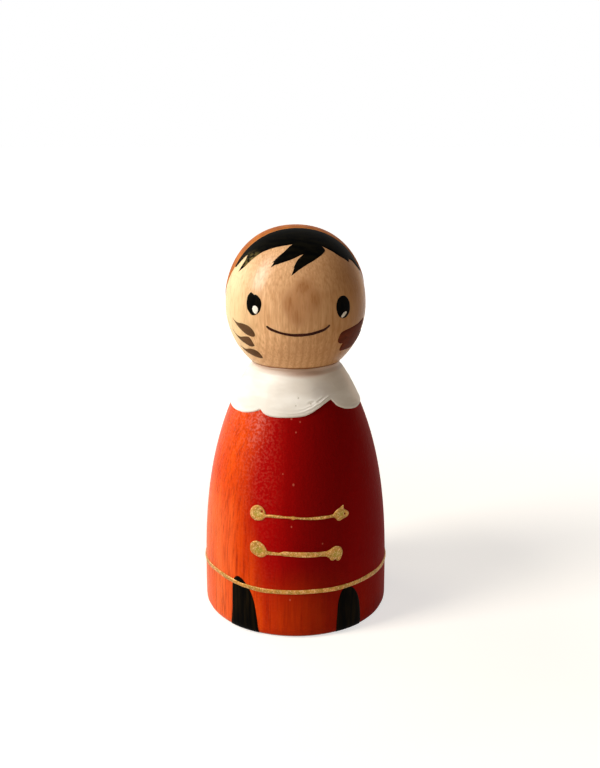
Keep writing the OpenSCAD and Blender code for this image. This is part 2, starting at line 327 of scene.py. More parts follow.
def inside_depth(points, loop):
    """How far each flat point lies inside a closed outline, negative outside it"""
    starts, ends = loop, np.roll(loop, -1, axis=0)
    least = np.full(len(points), 1e9)
    crossed = np.zeros(len(points), bool)
    for a, b in zip(starts, ends):
        run = b - a
        share = np.clip(((points - a) @ run) / max(run @ run, 1e-12), 0, 1)
        least = np.minimum(least, np.hypot(*(points - a - share[:, None] * run).T))
        if a[1] != b[1]:
            hit = (a[1] > points[:, 1]) != (b[1] > points[:, 1])
            crossed ^= hit & (points[:, 0] < a[0] + (points[:, 1] - a[1]) * run[0] / run[1])
    return np.where(crossed, least, -least)


def blade(loop):
    """A prism that cuts a flat sheet along a closed outline"""
    bpy.ops.mesh.primitive_circle_add(vertices=len(loop), fill_type="NGON")
    cutter = new_piece("blade")
    set_points(cutter, [(u, w, -1) for u, w in loop])
    extrude_up(cutter, 3)
    return cutter


def cut(piece, cutter, operation):
    modifier = piece.modifiers.new("cut", "BOOLEAN")
    modifier.operation = operation
    modifier.object = cutter
    modifier.solver = "EXACT"
    select_only(piece)
    bpy.ops.object.modifier_apply(modifier=modifier.name)
    bpy.data.objects.remove(cutter)


def split_large_faces(piece):
    """Turns the many-sided faces that a cut leaves into triangles"""
    edit_all(piece)
    bpy.ops.mesh.remove_doubles(threshold=1e-4)
    bpy.ops.mesh.select_all(action="DESELECT")
    bpy.ops.mesh.select_mode(type="FACE")
    bpy.ops.mesh.select_face_by_sides(number=4, type="GREATER")
    bpy.ops.mesh.quads_convert_to_tris(quad_method="BEAUTY", ngon_method="BEAUTY")
    bpy.ops.mesh.select_mode(type="VERT")
    end_edit()


def flat_sheet(name, lowest, highest, step):
    """A sheet of squares about one step wide, between two corners"""
    counts = np.ceil((highest - lowest) / step).astype(int)
    bpy.ops.mesh.primitive_grid_add(x_subdivisions=int(counts[0]), y_subdivisions=int(counts[1]), size=1,
                                    location=(*(lowest + highest) / 2, 0))
    piece = new_piece(name)
    piece.scale = (*(highest - lowest), 1)
    bpy.ops.object.transform_apply(location=True, rotation=True, scale=True)
    extrude_up(piece, 1)
    return piece


def laid(name, loops, turn, tilt, low, thickness, roll, step, holes=(), rim=0.3, relief=None):
    """Paint inside outlines of turns and heights. It grows to its thickness within roll of its edge."""
    # The outlines are seen on a flat sheet that faces the doll's head or body
    right, up, out = facing(turn, tilt)
    middle = np.array([0, 0, head_z if loops[0][:, 1].mean() > body_h else 0])
    sheets = []
    for loop in [*loops, *holes]:
        away = spot(loop[:, 0], loop[:, 1]) - middle
        sheets.append(np.column_stack([away @ right, away @ up]))
    shapes, openings = sheets[:len(loops)], sheets[len(loops):]
    piece = flat_sheet(name, np.vstack(shapes).min(0) - 2 * step, np.vstack(shapes).max(0) + 2 * step, step)
    cutter = blade(shapes[0])
    for loop in shapes[1:]:
        cut(cutter, blade(loop), "UNION")
    cut(piece, cutter, "INTERSECT")
    for loop in openings:
        cut(piece, blade(loop), "DIFFERENCE")
    split_large_faces(piece)
    flat = points_of(piece)
    depth = np.max([inside_depth(flat[:, :2], loop) for loop in shapes], axis=0)
    for loop in openings:
        depth = np.minimum(depth, -inside_depth(flat[:, :2], loop))
    rise = rim + (1 - rim) * rolled(depth / roll)
    # The cut sheet is pressed on to the wood, and its upper side lifted by the paint's thickness
    places = onto_wood(middle + flat[:, :1] * right + flat[:, 1:2] * up, out)
    if relief:
        rise = rise * relief(places)
    on_top = flat[:, 2] > 0.5
    set_points(piece, lifted(places, low + np.where(on_top, thickness * rise, 0)) * MM)
    smooth(piece)
    return piece


# Shader building

def feed(tree, socket, value):
    """Links a socket to another one, or sets its value. A colour may leave out its alpha."""
    if isinstance(value, bpy.types.NodeSocket):
        tree.links.new(value, socket)
    elif socket.type == "RGBA":
        socket.default_value = (*value, 1)[:4]
    else:
        socket.default_value = value


def set_inputs(tree, node, **inputs):
    """Feeds a node's inputs by name"""
    for key, value in inputs.items():
        feed(tree, node.inputs[key.replace("_", " ")], value)
    return node


def add(tree, kind, **inputs):
    """A node with its settings and inputs. An input without a name of its own is n and its number."""
    node = tree.nodes.new(kind)
    for key, value in inputs.items():
        if key in node.bl_rna.properties:
            setattr(node, key, value)
        elif key[0] == "n" and key[1:].isdigit():
            feed(tree, node.inputs[int(key[1:])], value)
        else:
            set_inputs(tree, node, **{key: value})
    return node


def stops(tree, value, *places):
    """A colour ramp: each stop is a place and a grey or a colour"""
    node = add(tree, "ShaderNodeValToRGB", Fac=value)
    ramp_stops = node.color_ramp.elements
    while len(ramp_stops) < len(places):
        ramp_stops.new(0.5)
    for stop, (place_at, shade) in zip(ramp_stops, places):
        stop.position = place_at
        stop.color = (*shade, 1) if isinstance(shade, tuple) else (shade, shade, shade, 1)
    return node.outputs["Color"]


def mixed(tree, share, low, high):
    """A colour between two others"""
    node = add(tree, "ShaderNodeMix", data_type="RGBA", n0=share, n6=low, n7=high)
    return node.outputs[2]


def ramp(tree, value, start, end, low=0.0, high=1.0, soft=False):
    """A value on its way from start to end, turned into one between low and high"""
    course = "SMOOTHSTEP" if soft else "LINEAR"
    return add(tree, "ShaderNodeMapRange", interpolation_type=course, Value=value, From_Min=start,
               From_Max=end, To_Min=low, To_Max=high).outputs[0]


def spread(tree, share, low, high):
    """A share from 0 to 1 turned into a value between low and high"""
    return ramp(tree, share, 0.0, 1.0, low, high)


def fade(tree, measure, start, end, low=0.0, high=1.0, soft=True):
    """A ramp along one axis of the doll, in millimetres"""
    return ramp(tree, measure, start * MM, end * MM, low, high, soft)


def times(tree, a, b):
    return add(tree, "ShaderNodeMath", operation="MULTIPLY", n0=a, n1=b).outputs[0]


def shifted(tree, a, factor, b):
    """A value times a factor, added to another"""
    return add(tree, "ShaderNodeMath", operation="MULTIPLY_ADD", n0=a, n1=factor, n2=b).outputs[0]


def sum_of(tree, a, b):
    return add(tree, "ShaderNodeMath", operation="ADD", use_clamp=True, n0=a, n1=b).outputs[0]


def right_and_up(tree, coords):
    """How far to the right and how high a point of the doll lies"""
    parts = add(tree, "ShaderNodeSeparateXYZ", Vector=coords)
    return parts.outputs["X"], parts.outputs["Z"]


def near(tree, coords, place_at, sizes, full=0.3):
    """A soft mask round a place on the doll, in millimetres: 1 in its middle and 0 outside its sizes"""
    away = add(tree, "ShaderNodeVectorMath", operation="SUBTRACT", n0=coords,
               n1=tuple(v * MM for v in place_at))
    scaled = add(tree, "ShaderNodeVectorMath", operation="DIVIDE", n0=away.outputs[0],
                 n1=tuple(v * MM for v in sizes))
    length = add(tree, "ShaderNodeVectorMath", operation="LENGTH", n0=scaled.outputs[0])
    return ramp(tree, length.outputs["Value"], 1.0, full, soft=True)


def bumped(tree, shader, *heights):
    """Relief of the surface: each height is a mask and its depth in millimetres"""
    below = {}
    for mask, depth in heights:
        bump = add(tree, "ShaderNodeBump", Height=mask, Distance=depth * MM, Strength=1.0, **below)
        below = {"Normal": bump.outputs["Normal"]}
    set_inputs(tree, shader, **below)


def background_rays(tree):
    """1 for the rays that show the white background: the camera's, and those in gloss, metal or glass"""
    rays = add(tree, "ShaderNodeLightPath")
    seen = sum_of(tree, rays.outputs["Is Camera Ray"], rays.outputs["Is Glossy Ray"])
    return sum_of(tree, seen, rays.outputs["Is Transmission Ray"])


def group(name, inputs, outputs):
    """A shared node group: its inputs have a kind and a value, and its outputs are numbers"""
    tree = bpy.data.node_groups.new(name, "ShaderNodeTree")
    for socket, kind, value in inputs:
        made = tree.interface.new_socket(name=socket, in_out="INPUT", socket_type="NodeSocket" + kind)
        if value is not None:
            made.default_value = value
    for socket in outputs:
        tree.interface.new_socket(name=socket, in_out="OUTPUT", socket_type="NodeSocketFloat")
    return tree, tree.nodes.new("NodeGroupInput"), tree.nodes.new("NodeGroupOutput")


def place(tree, made, **inputs):
    """Places a node group in a material"""
    node = tree.nodes.new("ShaderNodeGroup")
    node.node_tree = made
    return set_inputs(tree, node, **inputs)


def material(name, **values):
    """A new material, with its tree, its shader and the place on the doll"""
    made = bpy.data.materials.new(name)
    made.use_nodes = True
    tree = made.node_tree
    shader = set_inputs(tree, tree.nodes["Principled BSDF"], **values)
    return made, tree, shader, tree.nodes.new("ShaderNodeTexCoord").outputs["Object"]


# The shared effects

def figure_noise(tree, where, stretch, scale, detail, shift=(0, 0, 0)):
    """Noise drawn out along the peg"""
    moved = add(tree, "ShaderNodeMapping", Vector=where, Scale=stretch, Location=shift).outputs[0]
    return add(tree, "ShaderNodeTexNoise", Vector=moved, Scale=scale, Detail=detail).outputs["Fac"]


def wood_figure():
    """Pale beech: thin growth lines that run up the peg, fine fibres, short flecks and broad patches"""
    tree, given, out = group("wood figure", [("Place", "Vector", None)],
                             ["Lines", "Fibres", "Flecks", "Patches"])
    here = given.outputs["Place"]
    # The growth rings wander a little, and their heart lies outside the peg
    slow = add(tree, "ShaderNodeMapping", Vector=here, Scale=(1, 1, 0.12))
    wander = add(tree, "ShaderNodeTexNoise", Vector=slow.outputs[0], Scale=210.0, Detail=1.0)
    moved = add(tree, "ShaderNodeVectorMath", operation="MULTIPLY_ADD", n0=wander.outputs["Color"],
                n1=(0.0011, 0.0011, 0), n2=slow.outputs[0])
    heart = add(tree, "ShaderNodeMapping", Vector=moved.outputs[0], Location=(0.071, 0.024, 0))
    rings = add(tree, "ShaderNodeTexWave", Vector=heart.outputs[0], wave_type="RINGS", rings_direction="Z",
                Scale=208.0, Distortion=0.0)
    flecks = figure_noise(tree, here, (1, 1, 0.16), 2500.0, 1.0)
    patches = figure_noise(tree, here, (1, 1, 0.6), 150.0, 3.0, (0.0023, 0.001, 0.0061))
    set_inputs(tree, out, Lines=stops(tree, rings.outputs["Fac"], (0.02, 1.0), (0.3, 0.35), (0.75, 0.0)),
               Fibres=figure_noise(tree, here, (1, 1, 0.09), 2700.0, 2.0),
               Flecks=stops(tree, flecks, (0.56, 0.0), (0.7, 1.0)),
               Patches=stops(tree, patches, (0.4, 0.0), (0.66, 1.0)))
    return tree


def brush_streaks():
    """Fine ridges that a brush leaves, drawn out along one direction"""
    tree, given, out = group(
        "brush streaks",
        [("Place", "Vector", None), ("Stretch", "Vector", (1, 1, 0.06)), ("Scale", "Float", 1000.0)],
        ["Streaks", "Coverage"])
    drawn_out = add(tree, "ShaderNodeVectorMath", operation="MULTIPLY", n0=given.outputs["Place"],
                    n1=given.outputs["Stretch"])
    fine = add(tree, "ShaderNodeTexNoise", Vector=drawn_out.outputs[0], Scale=given.outputs["Scale"],
               Detail=4.0, Roughness=0.62)
    broad = add(tree, "ShaderNodeTexNoise", Vector=drawn_out.outputs[0],
                Scale=times(tree, given.outputs["Scale"], 0.27), Detail=3.0)
    set_inputs(tree, out, Streaks=fine.outputs["Fac"], Coverage=broad.outputs["Fac"])
    return tree


def fine_grain():
    """Even grain in a layer of paint, and sparse specks that stand out of it"""
    tree, given, out = group("fine grain", [("Place", "Vector", None), ("Scale", "Float", 3000.0)],
                             ["Grain", "Specks"])
    even = add(tree, "ShaderNodeTexNoise", Vector=given.outputs["Place"], Scale=given.outputs["Scale"],
               Detail=2.0)
    cells = add(tree, "ShaderNodeTexVoronoi", Vector=given.outputs["Place"],
                Scale=times(tree, given.outputs["Scale"], 0.3))
    set_inputs(tree, out, Grain=even.outputs["Fac"],
               Specks=stops(tree, cells.outputs["Distance"], (0.06, 1.0), (0.2, 0.0)))
    return tree


figure = wood_figure()
streaks = brush_streaks()
grain = fine_grain()

# The wood's colours
beech = (0.85, 0.535, 0.30)
growth_line = (0.62, 0.34, 0.17)
dark_fibre = (0.60, 0.315, 0.145)
dark_fleck = (0.40, 0.19, 0.07)
cloud_brown = (0.36, 0.15, 0.055)
# Painted shade on the right side of the head
painted_shade_brown = (0.35, 0.14, 0.03)
# Painted light at the far left of the head
painted_light_pale = (0.86, 0.72, 0.42)
# Painted shade in the groove under the chin
painted_groove_shade = (0.22, 0.07, 0.02)

# The coat's colours. Its red alone changes across the doll, at shares of the way from left to right, as
# painted light on the left and painted shade towards the right.
painted_light_reds = ((0.08, 0.40), (0.2, 0.36), (0.31, 0.28), (0.46, 0.21), (0.6, 0.185), (0.75, 0.20), (0.9, 0.25))
# Thin red over pale wood, and painted light on the lit left
thin_lit_red = (0.76, 0.078, 0.003)
# Thinnest red, and a painted sheen low at the far left
thinnest_sheen_red = (0.84, 0.17, 0.05)
fibre_red = (0.15, 0.001, 0.001)
# Thin paint on the stipple's peaks, and painted highlights
peak_highlight_red = (0.80, 0.11, 0.012)
# Dust specks, painted pale as glints
dust_glint_pink = (0.75, 0.22, 0.15)

# The other paints' colours
full_white = (0.90, 0.895, 0.88)
thin_white = (0.76, 0.735, 0.70)
# Thin white over wood, darkened with painted shade
shaded_white_over_wood = (0.50, 0.28, 0.18)
# Painted shade under the chin
painted_chin_shade = (0.50, 0.33, 0.25)
# Painted shade right of the collar's middle
painted_shade_grey = (0.50, 0.48, 0.48)
# Painted shade in the pits
pit_shade_brown = (0.34, 0.29, 0.24)
hair_deep = (0.0005, 0.0005, 0.0005)
hair_thin = (0.004, 0.0035, 0.002)
# Thin paint on the left lock, and a painted sheen
lock_sheen_brown = (0.20, 0.155, 0.05)
russet_deep = (0.33, 0.085, 0.012)
russet_thin = (0.52, 0.155, 0.022)
russet_worn = (0.66, 0.29, 0.12)
gold_amber = (0.49, 0.225, 0.033)
gold_pooled = (0.28, 0.145, 0.008)
gold_olive = (0.29, 0.21, 0.012)
gold_bright = (0.86, 0.54, 0.25)


def wood_colour(tree, coords):
    """The wood's colour, and the figure that gives it"""
    found = place(tree, figure, Place=coords)
    fibres = found.outputs["Fibres"]
    right, height = right_and_up(tree, coords)
    clear = fade(tree, height, 73, 65, 0.22, 0.7, soft=False)
    colour = mixed(tree, times(tree, found.outputs["Lines"], clear), beech, growth_line)
    colour = mixed(tree, ramp(tree, fibres, 0.34, 0.66, 0.0, 0.75), colour, dark_fibre)
    # A brown cloud in the wood, with darker clouds in it, lies in the middle of the front
    cloud = times(tree, near(tree, coords, (1.4, -15, 74.6), (5.8, 7, 7.4)), 0.72)
    for x, z, wide, high in ((-1.7, 74.2, 1.5, 3.6), (4.3, 75.2, 1.7, 3.6), (1.7, 78.0, 2.2, 2.0),
                             (0.3, 70.6, 1.9, 2.6)):
        darker = near(tree, coords, (x, -15, z), (wide, 6, high), 0.0)
        cloud = sum_of(tree, cloud, times(tree, darker, 0.45))
    cloud = times(tree, cloud, ramp(tree, fibres, 0.68, 0.34, 0.5, 1.0))
    clouds = sum_of(tree, cloud, times(tree, found.outputs["Patches"], 0.28))
    colour = mixed(tree, times(tree, clouds, 0.9), colour, cloud_brown)
    # Painted shade makes the wood browner towards the right, and painted light makes it paler at the far
    # left
    colour = mixed(tree, fade(tree, right, -1, 14.5, 0.0, 0.68), colour, painted_shade_brown)
    colour = mixed(tree, fade(tree, right, -6, -14.5, 0.0, 0.6), colour, painted_light_pale)
    # Painted shade darkens the groove under the chin
    groove = fade(tree, height, 59.5, 59.1)
    colour = mixed(tree, times(tree, groove, 0.85), colour, painted_groove_shade)
    return mixed(tree, times(tree, found.outputs["Flecks"], 0.3), colour, dark_fleck), found


def beech_wood():
    made, tree, shader, coords = material("beech wood", Specular_IOR_Level=0.06, Coat_Roughness=0.25)
    colour, found = wood_colour(tree, coords)
    fibres = found.outputs["Fibres"]
    # Handling has polished the forehead and the left side
    polish = near(tree, coords, (-8.5, -10.5, 78.5), (7.5, 9.0, 8.5), 0.1)
    set_inputs(tree, shader, Base_Color=colour, Roughness=spread(tree, fibres, 0.2, 0.38),
               Coat_Weight=times(tree, polish, spread(tree, fibres, 1.0, 0.5)))
    bumped(tree, shader, (fibres, 0.012), (found.outputs["Flecks"], -0.012))
    return made


# Specks of dust on the coat, painted as glints: turns, heights and sizes
dust_glint_specks = [(-3.5, 49.0, 0.3), (3.7, 48.4, 0.26), (0.3, 46.3, 0.24), (-1.4, 35.5, 0.32), (-8.5, 37.7, 0.22),
            (-2.5, 26.4, 0.26), (16.3, 22.3, 0.26), (-3.3, 9.5, 0.3)]


def red_paint():
    """Deep red, thin enough towards the left and the foot for the pale wood to turn it orange. That orange
    is also painted light, and the red darkens to the right as painted shade.
    """
    made, tree, shader, coords = material("red paint", Specular_IOR_Level=0.025, Coat_Roughness=0.36)
    strokes = place(tree, streaks, Place=coords, Stretch=(1, 1, 0.05), Scale=2300.0).outputs["Streaks"]
    sweeps = place(tree, streaks, Place=coords, Stretch=(1, 1, 0.1), Scale=1800.0).outputs["Coverage"]
    small = place(tree, grain, Place=coords, Scale=1900.0)
    right, height = right_and_up(tree, coords)
    # The thin paint's edge, which is also the edge of the painted light, lies further right near the collar
    # than at the middle of the coat
    sideways = stops(tree, fade(tree, height, 0, 58, soft=False), (0.28, 0.6), (0.36, 0.4), (0.48, 0.05),
                     (0.6, 0.05), (0.69, 0.3), (0.79, 0.82), (0.86, 1.0))
    left = fade(tree, shifted(tree, sideways, -0.004, right), -7.8, -15.4, 0.0, 0.92)
    # Towards the foot the paint is thinner and painted lighter too, less so to the right
    foot = fade(tree, height, 19, 4, 0.0, 0.46)
    middle = fade(tree, right, 12, -6, 0.2, 1.0, soft=False)
    thin = sum_of(tree, left, times(tree, foot, middle))
    broken = ramp(tree, sweeps, 0.32, 0.66, 0.66, 1.12)
    # The red darkens from left to right as painted light and shade
    full = stops(tree, fade(tree, right, -10, 16, soft=False),
                 *((share, (red, 0.001, 0.001)) for share, red in painted_light_reds))
    colour = mixed(tree, times(tree, thin, broken), full, thin_lit_red)
    # It is thinnest low down at the far left, and painted paler there as a sheen
    low_left = times(tree, fade(tree, height, 36, 24), fade(tree, right, -12, -16.5, 0.0, 0.6))
    colour = mixed(tree, times(tree, low_left, broken), colour, thinnest_sheen_red)
    # Dark fibres of the wood show through it as fine upright lines
    dark = times(tree, ramp(tree, strokes, 0.5, 0.32), spread(tree, thin, 0.25, 0.5))
    colour = mixed(tree, dark, colour, fibre_red)
    # Stipple covers the upper left, and on its peaks the paint is thin too and painted lighter as
    # highlights
    stipple = times(tree, fade(tree, right, -1, -8), fade(tree, height, 26, 44, 0.22, 1.0, soft=False))
    peaks = ramp(tree, small.outputs["Grain"], 0.46, 0.66, 0.0, 0.14)
    colour = mixed(tree, times(tree, stipple, peaks), colour, peak_highlight_red)
    # Specks of dust lie in the paint, painted pale as small glints
    for turn, z, size in dust_glint_specks:
        speck = near(tree, coords, spot([turn], [z], 0.1)[0], (size, size, size * 1.3), 0.4)
        colour = mixed(tree, times(tree, speck, 0.35), colour, dust_glint_pink)
    # A gloss in patches lies over the stipple, weaker at the doll's edge
    edge = fade(tree, right, -14.5, -10.5, 0.25, 1.0, soft=False)
    patch = ramp(tree, small.outputs["Grain"], 0.44, 0.62, 0.02, 0.55)
    duller = sum_of(tree, spread(tree, strokes, 0.22, 0.40), spread(tree, left, 0.25, 0.0))
    set_inputs(tree, shader, Base_Color=colour, Roughness=duller,
               Coat_Weight=times(tree, stipple, times(tree, edge, patch)))
    bumped(tree, shader, (strokes, 0.045), (small.outputs["Grain"], 0.1), (small.outputs["Specks"], 0.03))
    return made


# Pits in the collar's paint: how far right and how high they lie, and their sizes
collar_pits = [(0.6, 53.25, 0.3), (0.05, 51.75, 0.24), (3.3, 52.0, 0.3)]


def white_paint():
    made, tree, shader, coords = material("white paint", Specular_IOR_Level=0.2)
    swept = place(tree, streaks, Place=coords, Stretch=(0.35, 0.35, 1), Scale=900.0)
    fine, cover = swept.outputs["Streaks"], swept.outputs["Coverage"]
    small = place(tree, grain, Place=coords, Scale=2400.0)
    colour = mixed(tree, stops(tree, cover, (0.38, 0.0), (0.62, 1.0)), thin_white, full_white)
    # Thin paint at the neck lets the wood through, darkened by painted shade under the chin
    height = right_and_up(tree, coords)[1]
    thin = fade(tree, shifted(tree, cover, 0.0016, height), 58.2, 59.4, 0.0, 0.7, soft=False)
    colour = mixed(tree, thin, colour, shaded_white_over_wood)
    # Painted shade under the chin darkens the white
    shade = near(tree, coords, (2.6, -10.4, 58.0), (7.5, 4.0, 1.3), 0.2)
    colour = mixed(tree, times(tree, shade, spread(tree, cover, 0.2, 1.1)), colour, painted_chin_shade)
    # Painted shade makes the white greyer right of the middle
    grey = near(tree, coords, (5.6, -11.5, 54.4), (4.6, 4.6, 3.4), 0.1)
    colour = mixed(tree, times(tree, grey, spread(tree, fine, 0.1, 0.7)), colour, painted_shade_grey)
    # Painted shade darkens the pits in the paint
    for x, z, size in collar_pits:
        front = -math.sqrt(float(radius(z)) ** 2 - x * x) - 0.3
        pit = near(tree, coords, (x, front, z), (size, 0.8, size), 0.3)
        colour = mixed(tree, times(tree, pit, 0.6), colour, pit_shade_brown)
    set_inputs(tree, shader, Base_Color=colour, Roughness=spread(tree, fine, 0.32, 0.5))
    bumped(tree, shader, (fine, 0.035), (small.outputs["Grain"], 0.008))
    return made


def plain_paint(name, thick, thin, stretch, rough, ridge, wood_share=0.0, gloss=0.03):
    """Satin acrylic from a small brush, a little thinner between its ridges"""
    made, tree, shader, coords = material(name, Specular_IOR_Level=gloss)
    swept = place(tree, streaks, Place=coords, Stretch=stretch, Scale=1300.0).outputs["Streaks"]
    small = place(tree, grain, Place=coords, Scale=3000.0)
    colour = mixed(tree, stops(tree, swept, (0.42, 0.0), (0.75, 1.0)), thick, thin)
    if wood_share:
        colour = mixed(tree, wood_share, colour, wood_colour(tree, coords)[0])
    set_inputs(tree, shader, Base_Color=colour, Roughness=spread(tree, swept, rough - 0.07, rough + 0.07))
    bumped(tree, shader, (swept, ridge), (small.outputs["Grain"], 0.006))
    return made


def hair_black():
    """The hair's black, brushed thin and brownish on the lock at the left, where the wood shows a little
    and a painted sheen lies
    """
    made, tree, shader, coords = material("hair paint", Specular_IOR_Level=0.01)
    swept = place(tree, streaks, Place=coords, Stretch=(0.14, 0.5, 0.5), Scale=1900.0).outputs["Streaks"]
    cover = ramp(tree, swept, 0.42, 0.58)
    lock = near(tree, coords, (-9.6, -10.5, 82.2), (4.2, 6.0, 3.4), 0.2)
    colour = mixed(tree, times(tree, lock, cover), mixed(tree, cover, hair_deep, hair_thin), lock_sheen_brown)
    set_inputs(tree, shader, Base_Color=colour, Roughness=spread(tree, swept, 0.36, 0.55))
    bumped(tree, shader, (swept, 0.025))
    return made


def russet_paint():
    """The cap's paint, rubbed paler along its front edge"""
    made, tree, shader, coords = material("russet paint", Specular_IOR_Level=0.03)
    swept = place(tree, streaks, Place=coords, Stretch=(1, 0.25, 0.4), Scale=1100.0)
    fine, cover = swept.outputs["Streaks"], swept.outputs["Coverage"]
    turned = add(tree, "ShaderNodeMapping", Vector=coords, Rotation=(0, 0, math.radians(-cap_turn)))
    back = add(tree, "ShaderNodeSeparateXYZ", Vector=turned.outputs[0]).outputs["Y"]
    worn = times(tree, fade(tree, back, -2.8, -3.3, soft=False), spread(tree, cover, 0.3, 1.0))
    colour = mixed(tree, ramp(tree, cover, 0.35, 0.65), russet_deep, russet_thin)
    set_inputs(tree, shader, Base_Color=mixed(tree, worn, colour, russet_worn),
               Roughness=spread(tree, fine, 0.38, 0.54))
    bumped(tree, shader, (fine, 0.02))
    return made


# The olive middles of the braids' knots: turns, heights and sizes across and up
knot_middles = [(-23.8, 28.8, 1.6, 1.1), (-22.4, 20.6, 1.7, 1.1), (29, 28.4, 1.5, 0.8),
                (25, 19.5, 1.5, 1.1)]


def gold_paint():
    """Gold acrylic with its flakes, darker where it pools"""
    made, tree, shader, coords = material("gold paint", Specular_IOR_Level=0.5, Metallic=0.45)
    flakes = place(tree, grain, Place=coords, Scale=3000.0).outputs["Grain"]
    pools = place(tree, grain, Place=coords, Scale=900.0).outputs["Grain"]
    colour = mixed(tree, stops(tree, pools, (0.4, 0.0), (0.65, 1.0)), gold_amber, gold_pooled)
    for turn, z, wide, high in knot_middles:
        olive = near(tree, coords, spot([turn], [z], 0.3)[0], (wide, 2.0, high), 0.35)
        colour = mixed(tree, times(tree, olive, 0.9), colour, gold_olive)
    colour = mixed(tree, stops(tree, flakes, (0.5, 0.0), (0.76, 1.0)), colour, gold_bright)
    set_inputs(tree, shader, Base_Color=colour, Roughness=spread(tree, flakes, 0.3, 0.6))
    bumped(tree, shader, (flakes, 0.03), (pools, 0.03))
    return made


# The turned peg
base_radii = np.linspace(outline[-1, 0], 0, 24)[1:]
peg_line = np.vstack([evenly(outline, 0.55), np.column_stack([base_radii, np.zeros(len(base_radii))])])
turned_peg = spun("peg", peg_line, 256, ends_on_axis=True)
set_points(turned_peg, points_of(turned_peg) * MM)
smooth(turned_peg, sharpest=60)
finished(turned_peg, "beech_wood", beech_wood(), "turned_peg")


# Layers of paint that go all round the body

def ring_section(high, low, start, thickness, spacing, rim, edge=0.25, inner_points=14):
    """A closed section of a layer that goes all round, as shares down from its top edge, and lifts"""
    run = evenly(outline[(outline[:, 1] <= high) & (outline[:, 1] >= low)], spacing)
    shares = (high - run[:, 1]) / (high - low)
    shares[0], shares[-1] = 0, 1
    length = np.concatenate([[0], np.cumsum(np.linalg.norm(np.diff(run, axis=0), axis=1))])
    from_end = np.minimum(length, length[-1] - length)
    lifts = start + thickness * (edge + (1 - edge) * rolled(from_end / rim))
    return (np.concatenate([shares, np.linspace(1, 0, inner_points)]),
            np.concatenate([lifts, np.full(inner_points, start)]))


def level(z):
    """An edge at one height all round"""
    return lambda turns: np.full(len(turns), z)


def laid_ring(name, top, bottom, start, thickness, spacing, rim, steps, relief, under=lambda turns, z: 0,
              strip_r=40):
    """A layer between a top and a bottom edge, which are functions of the turn, as are its two reliefs"""
    high, low = float(top(np.zeros(1))[0]), float(bottom(np.zeros(1))[0])
    shares, lifts = ring_section(high, low, start, thickness, spacing, rim)
    # The ring is spun as a plain strip, whose places are then drawn out to the edges and the form
    flat = np.column_stack([strip_r + lifts, (1 - shares) * (high - low) + low])
    piece = spun(name, flat, steps)
    which, turns = section_places(piece, flat)
    z = top(turns) - shares[which] * (top(turns) - bottom(turns))
    over = lifts[which] - start
    rise = np.where(over > 0.01, relief(turns, z, over), under(turns, z))
    set_points(piece, spot(turns, z, lifts[which] + rise) * MM)
    smooth(piece, sharpest=60)
    return piece


def ripple(turns, z, across, upward, seed, reach=18.0):
    """Smooth unevenness from -1 to 1 on the doll's side, with its lengths across and upward"""
    return np.array([
        noise.noise(Vector((math.sin(a) * reach / across, math.cos(a) * reach / across + seed, h / upward)))
        for a, h in zip(np.radians(turns), z)
    ])


# The red coat, with the raised grain of the wood showing through it
coat_top = 57.3
paint_foot = 0.6


def coat_relief(turns, z, rise):
    raised = ripple(turns, z, 1.1, 14, 3.1) * 0.022 + ripple(turns, z, 4.5, 22, 8.4) * 0.02
    return np.where(rise > 0.1, raised, 0)


red_coat = laid_ring("coat", level(coat_top), level(paint_foot), under_coat, coat_t,
                     spacing=0.8, rim=0.5, steps=320, relief=coat_relief)
finished(red_coat, "red_paint", red_paint(), "red_coat")

# The white collar: its lower edge is five scallops, each run going from one point to the next
scallops = [
    [(-180, 50.7), (-172, 49.9), (-160, 49.3), (-145, 49.05), (-128, 49.15), (-112, 49.75), (-104.4, 50.5)],
    [(-104.4, 50.5), (-97, 49.75), (-89, 49.25), (-79, 48.95), (-65.6, 48.75), (-51.3, 48.89),
     (-41.6, 49.38), (-35.5, 49.9), (-32.2, 50.3)],
    [(-32.2, 50.3), (-29.8, 49.85), (-26.6, 49.45), (-21.9, 49.18), (-15, 49.12), (-7.8, 49.2), (0, 49.32),
     (7, 49.5), (13, 49.95), (18.3, 50.55), (24, 51.2), (30, 51.85), (35.3, 52.25)],
    [(35.3, 52.25), (38, 51.4), (41, 50.68), (46, 50.05), (51.6, 49.6), (64.7, 49.1), (81.6, 49.2),
     (94, 49.7), (104.4, 50.45)],
    [(104.4, 50.45), (112, 49.75), (127, 49.15), (143, 49.05), (160, 49.45), (172, 50.0), (180, 50.7)],
]
collar_edge = np.vstack([curved(run, closed=False) for run in scallops])
collar_edge = collar_edge[np.concatenate([[True], np.diff(collar_edge[:, 0]) > 1e-6])]
collar_top = 58.95
collar_reach = 14
thin_from = 57.2
thin_over = 0.8
neck_sink = 0.17


def collar_low(turns):
    return np.interp(turns, collar_edge[:, 0], collar_edge[:, 1])


def collar_high(turns):
    return collar_top + 0.12 * ripple(turns, np.zeros(len(turns)), 4, 9, 2.2)


def neckward(z):
    """0 on the collar, and 1 where its paint has thinned out in the groove under the chin"""
    return np.clip((z - thin_from) / thin_over, 0, 1)


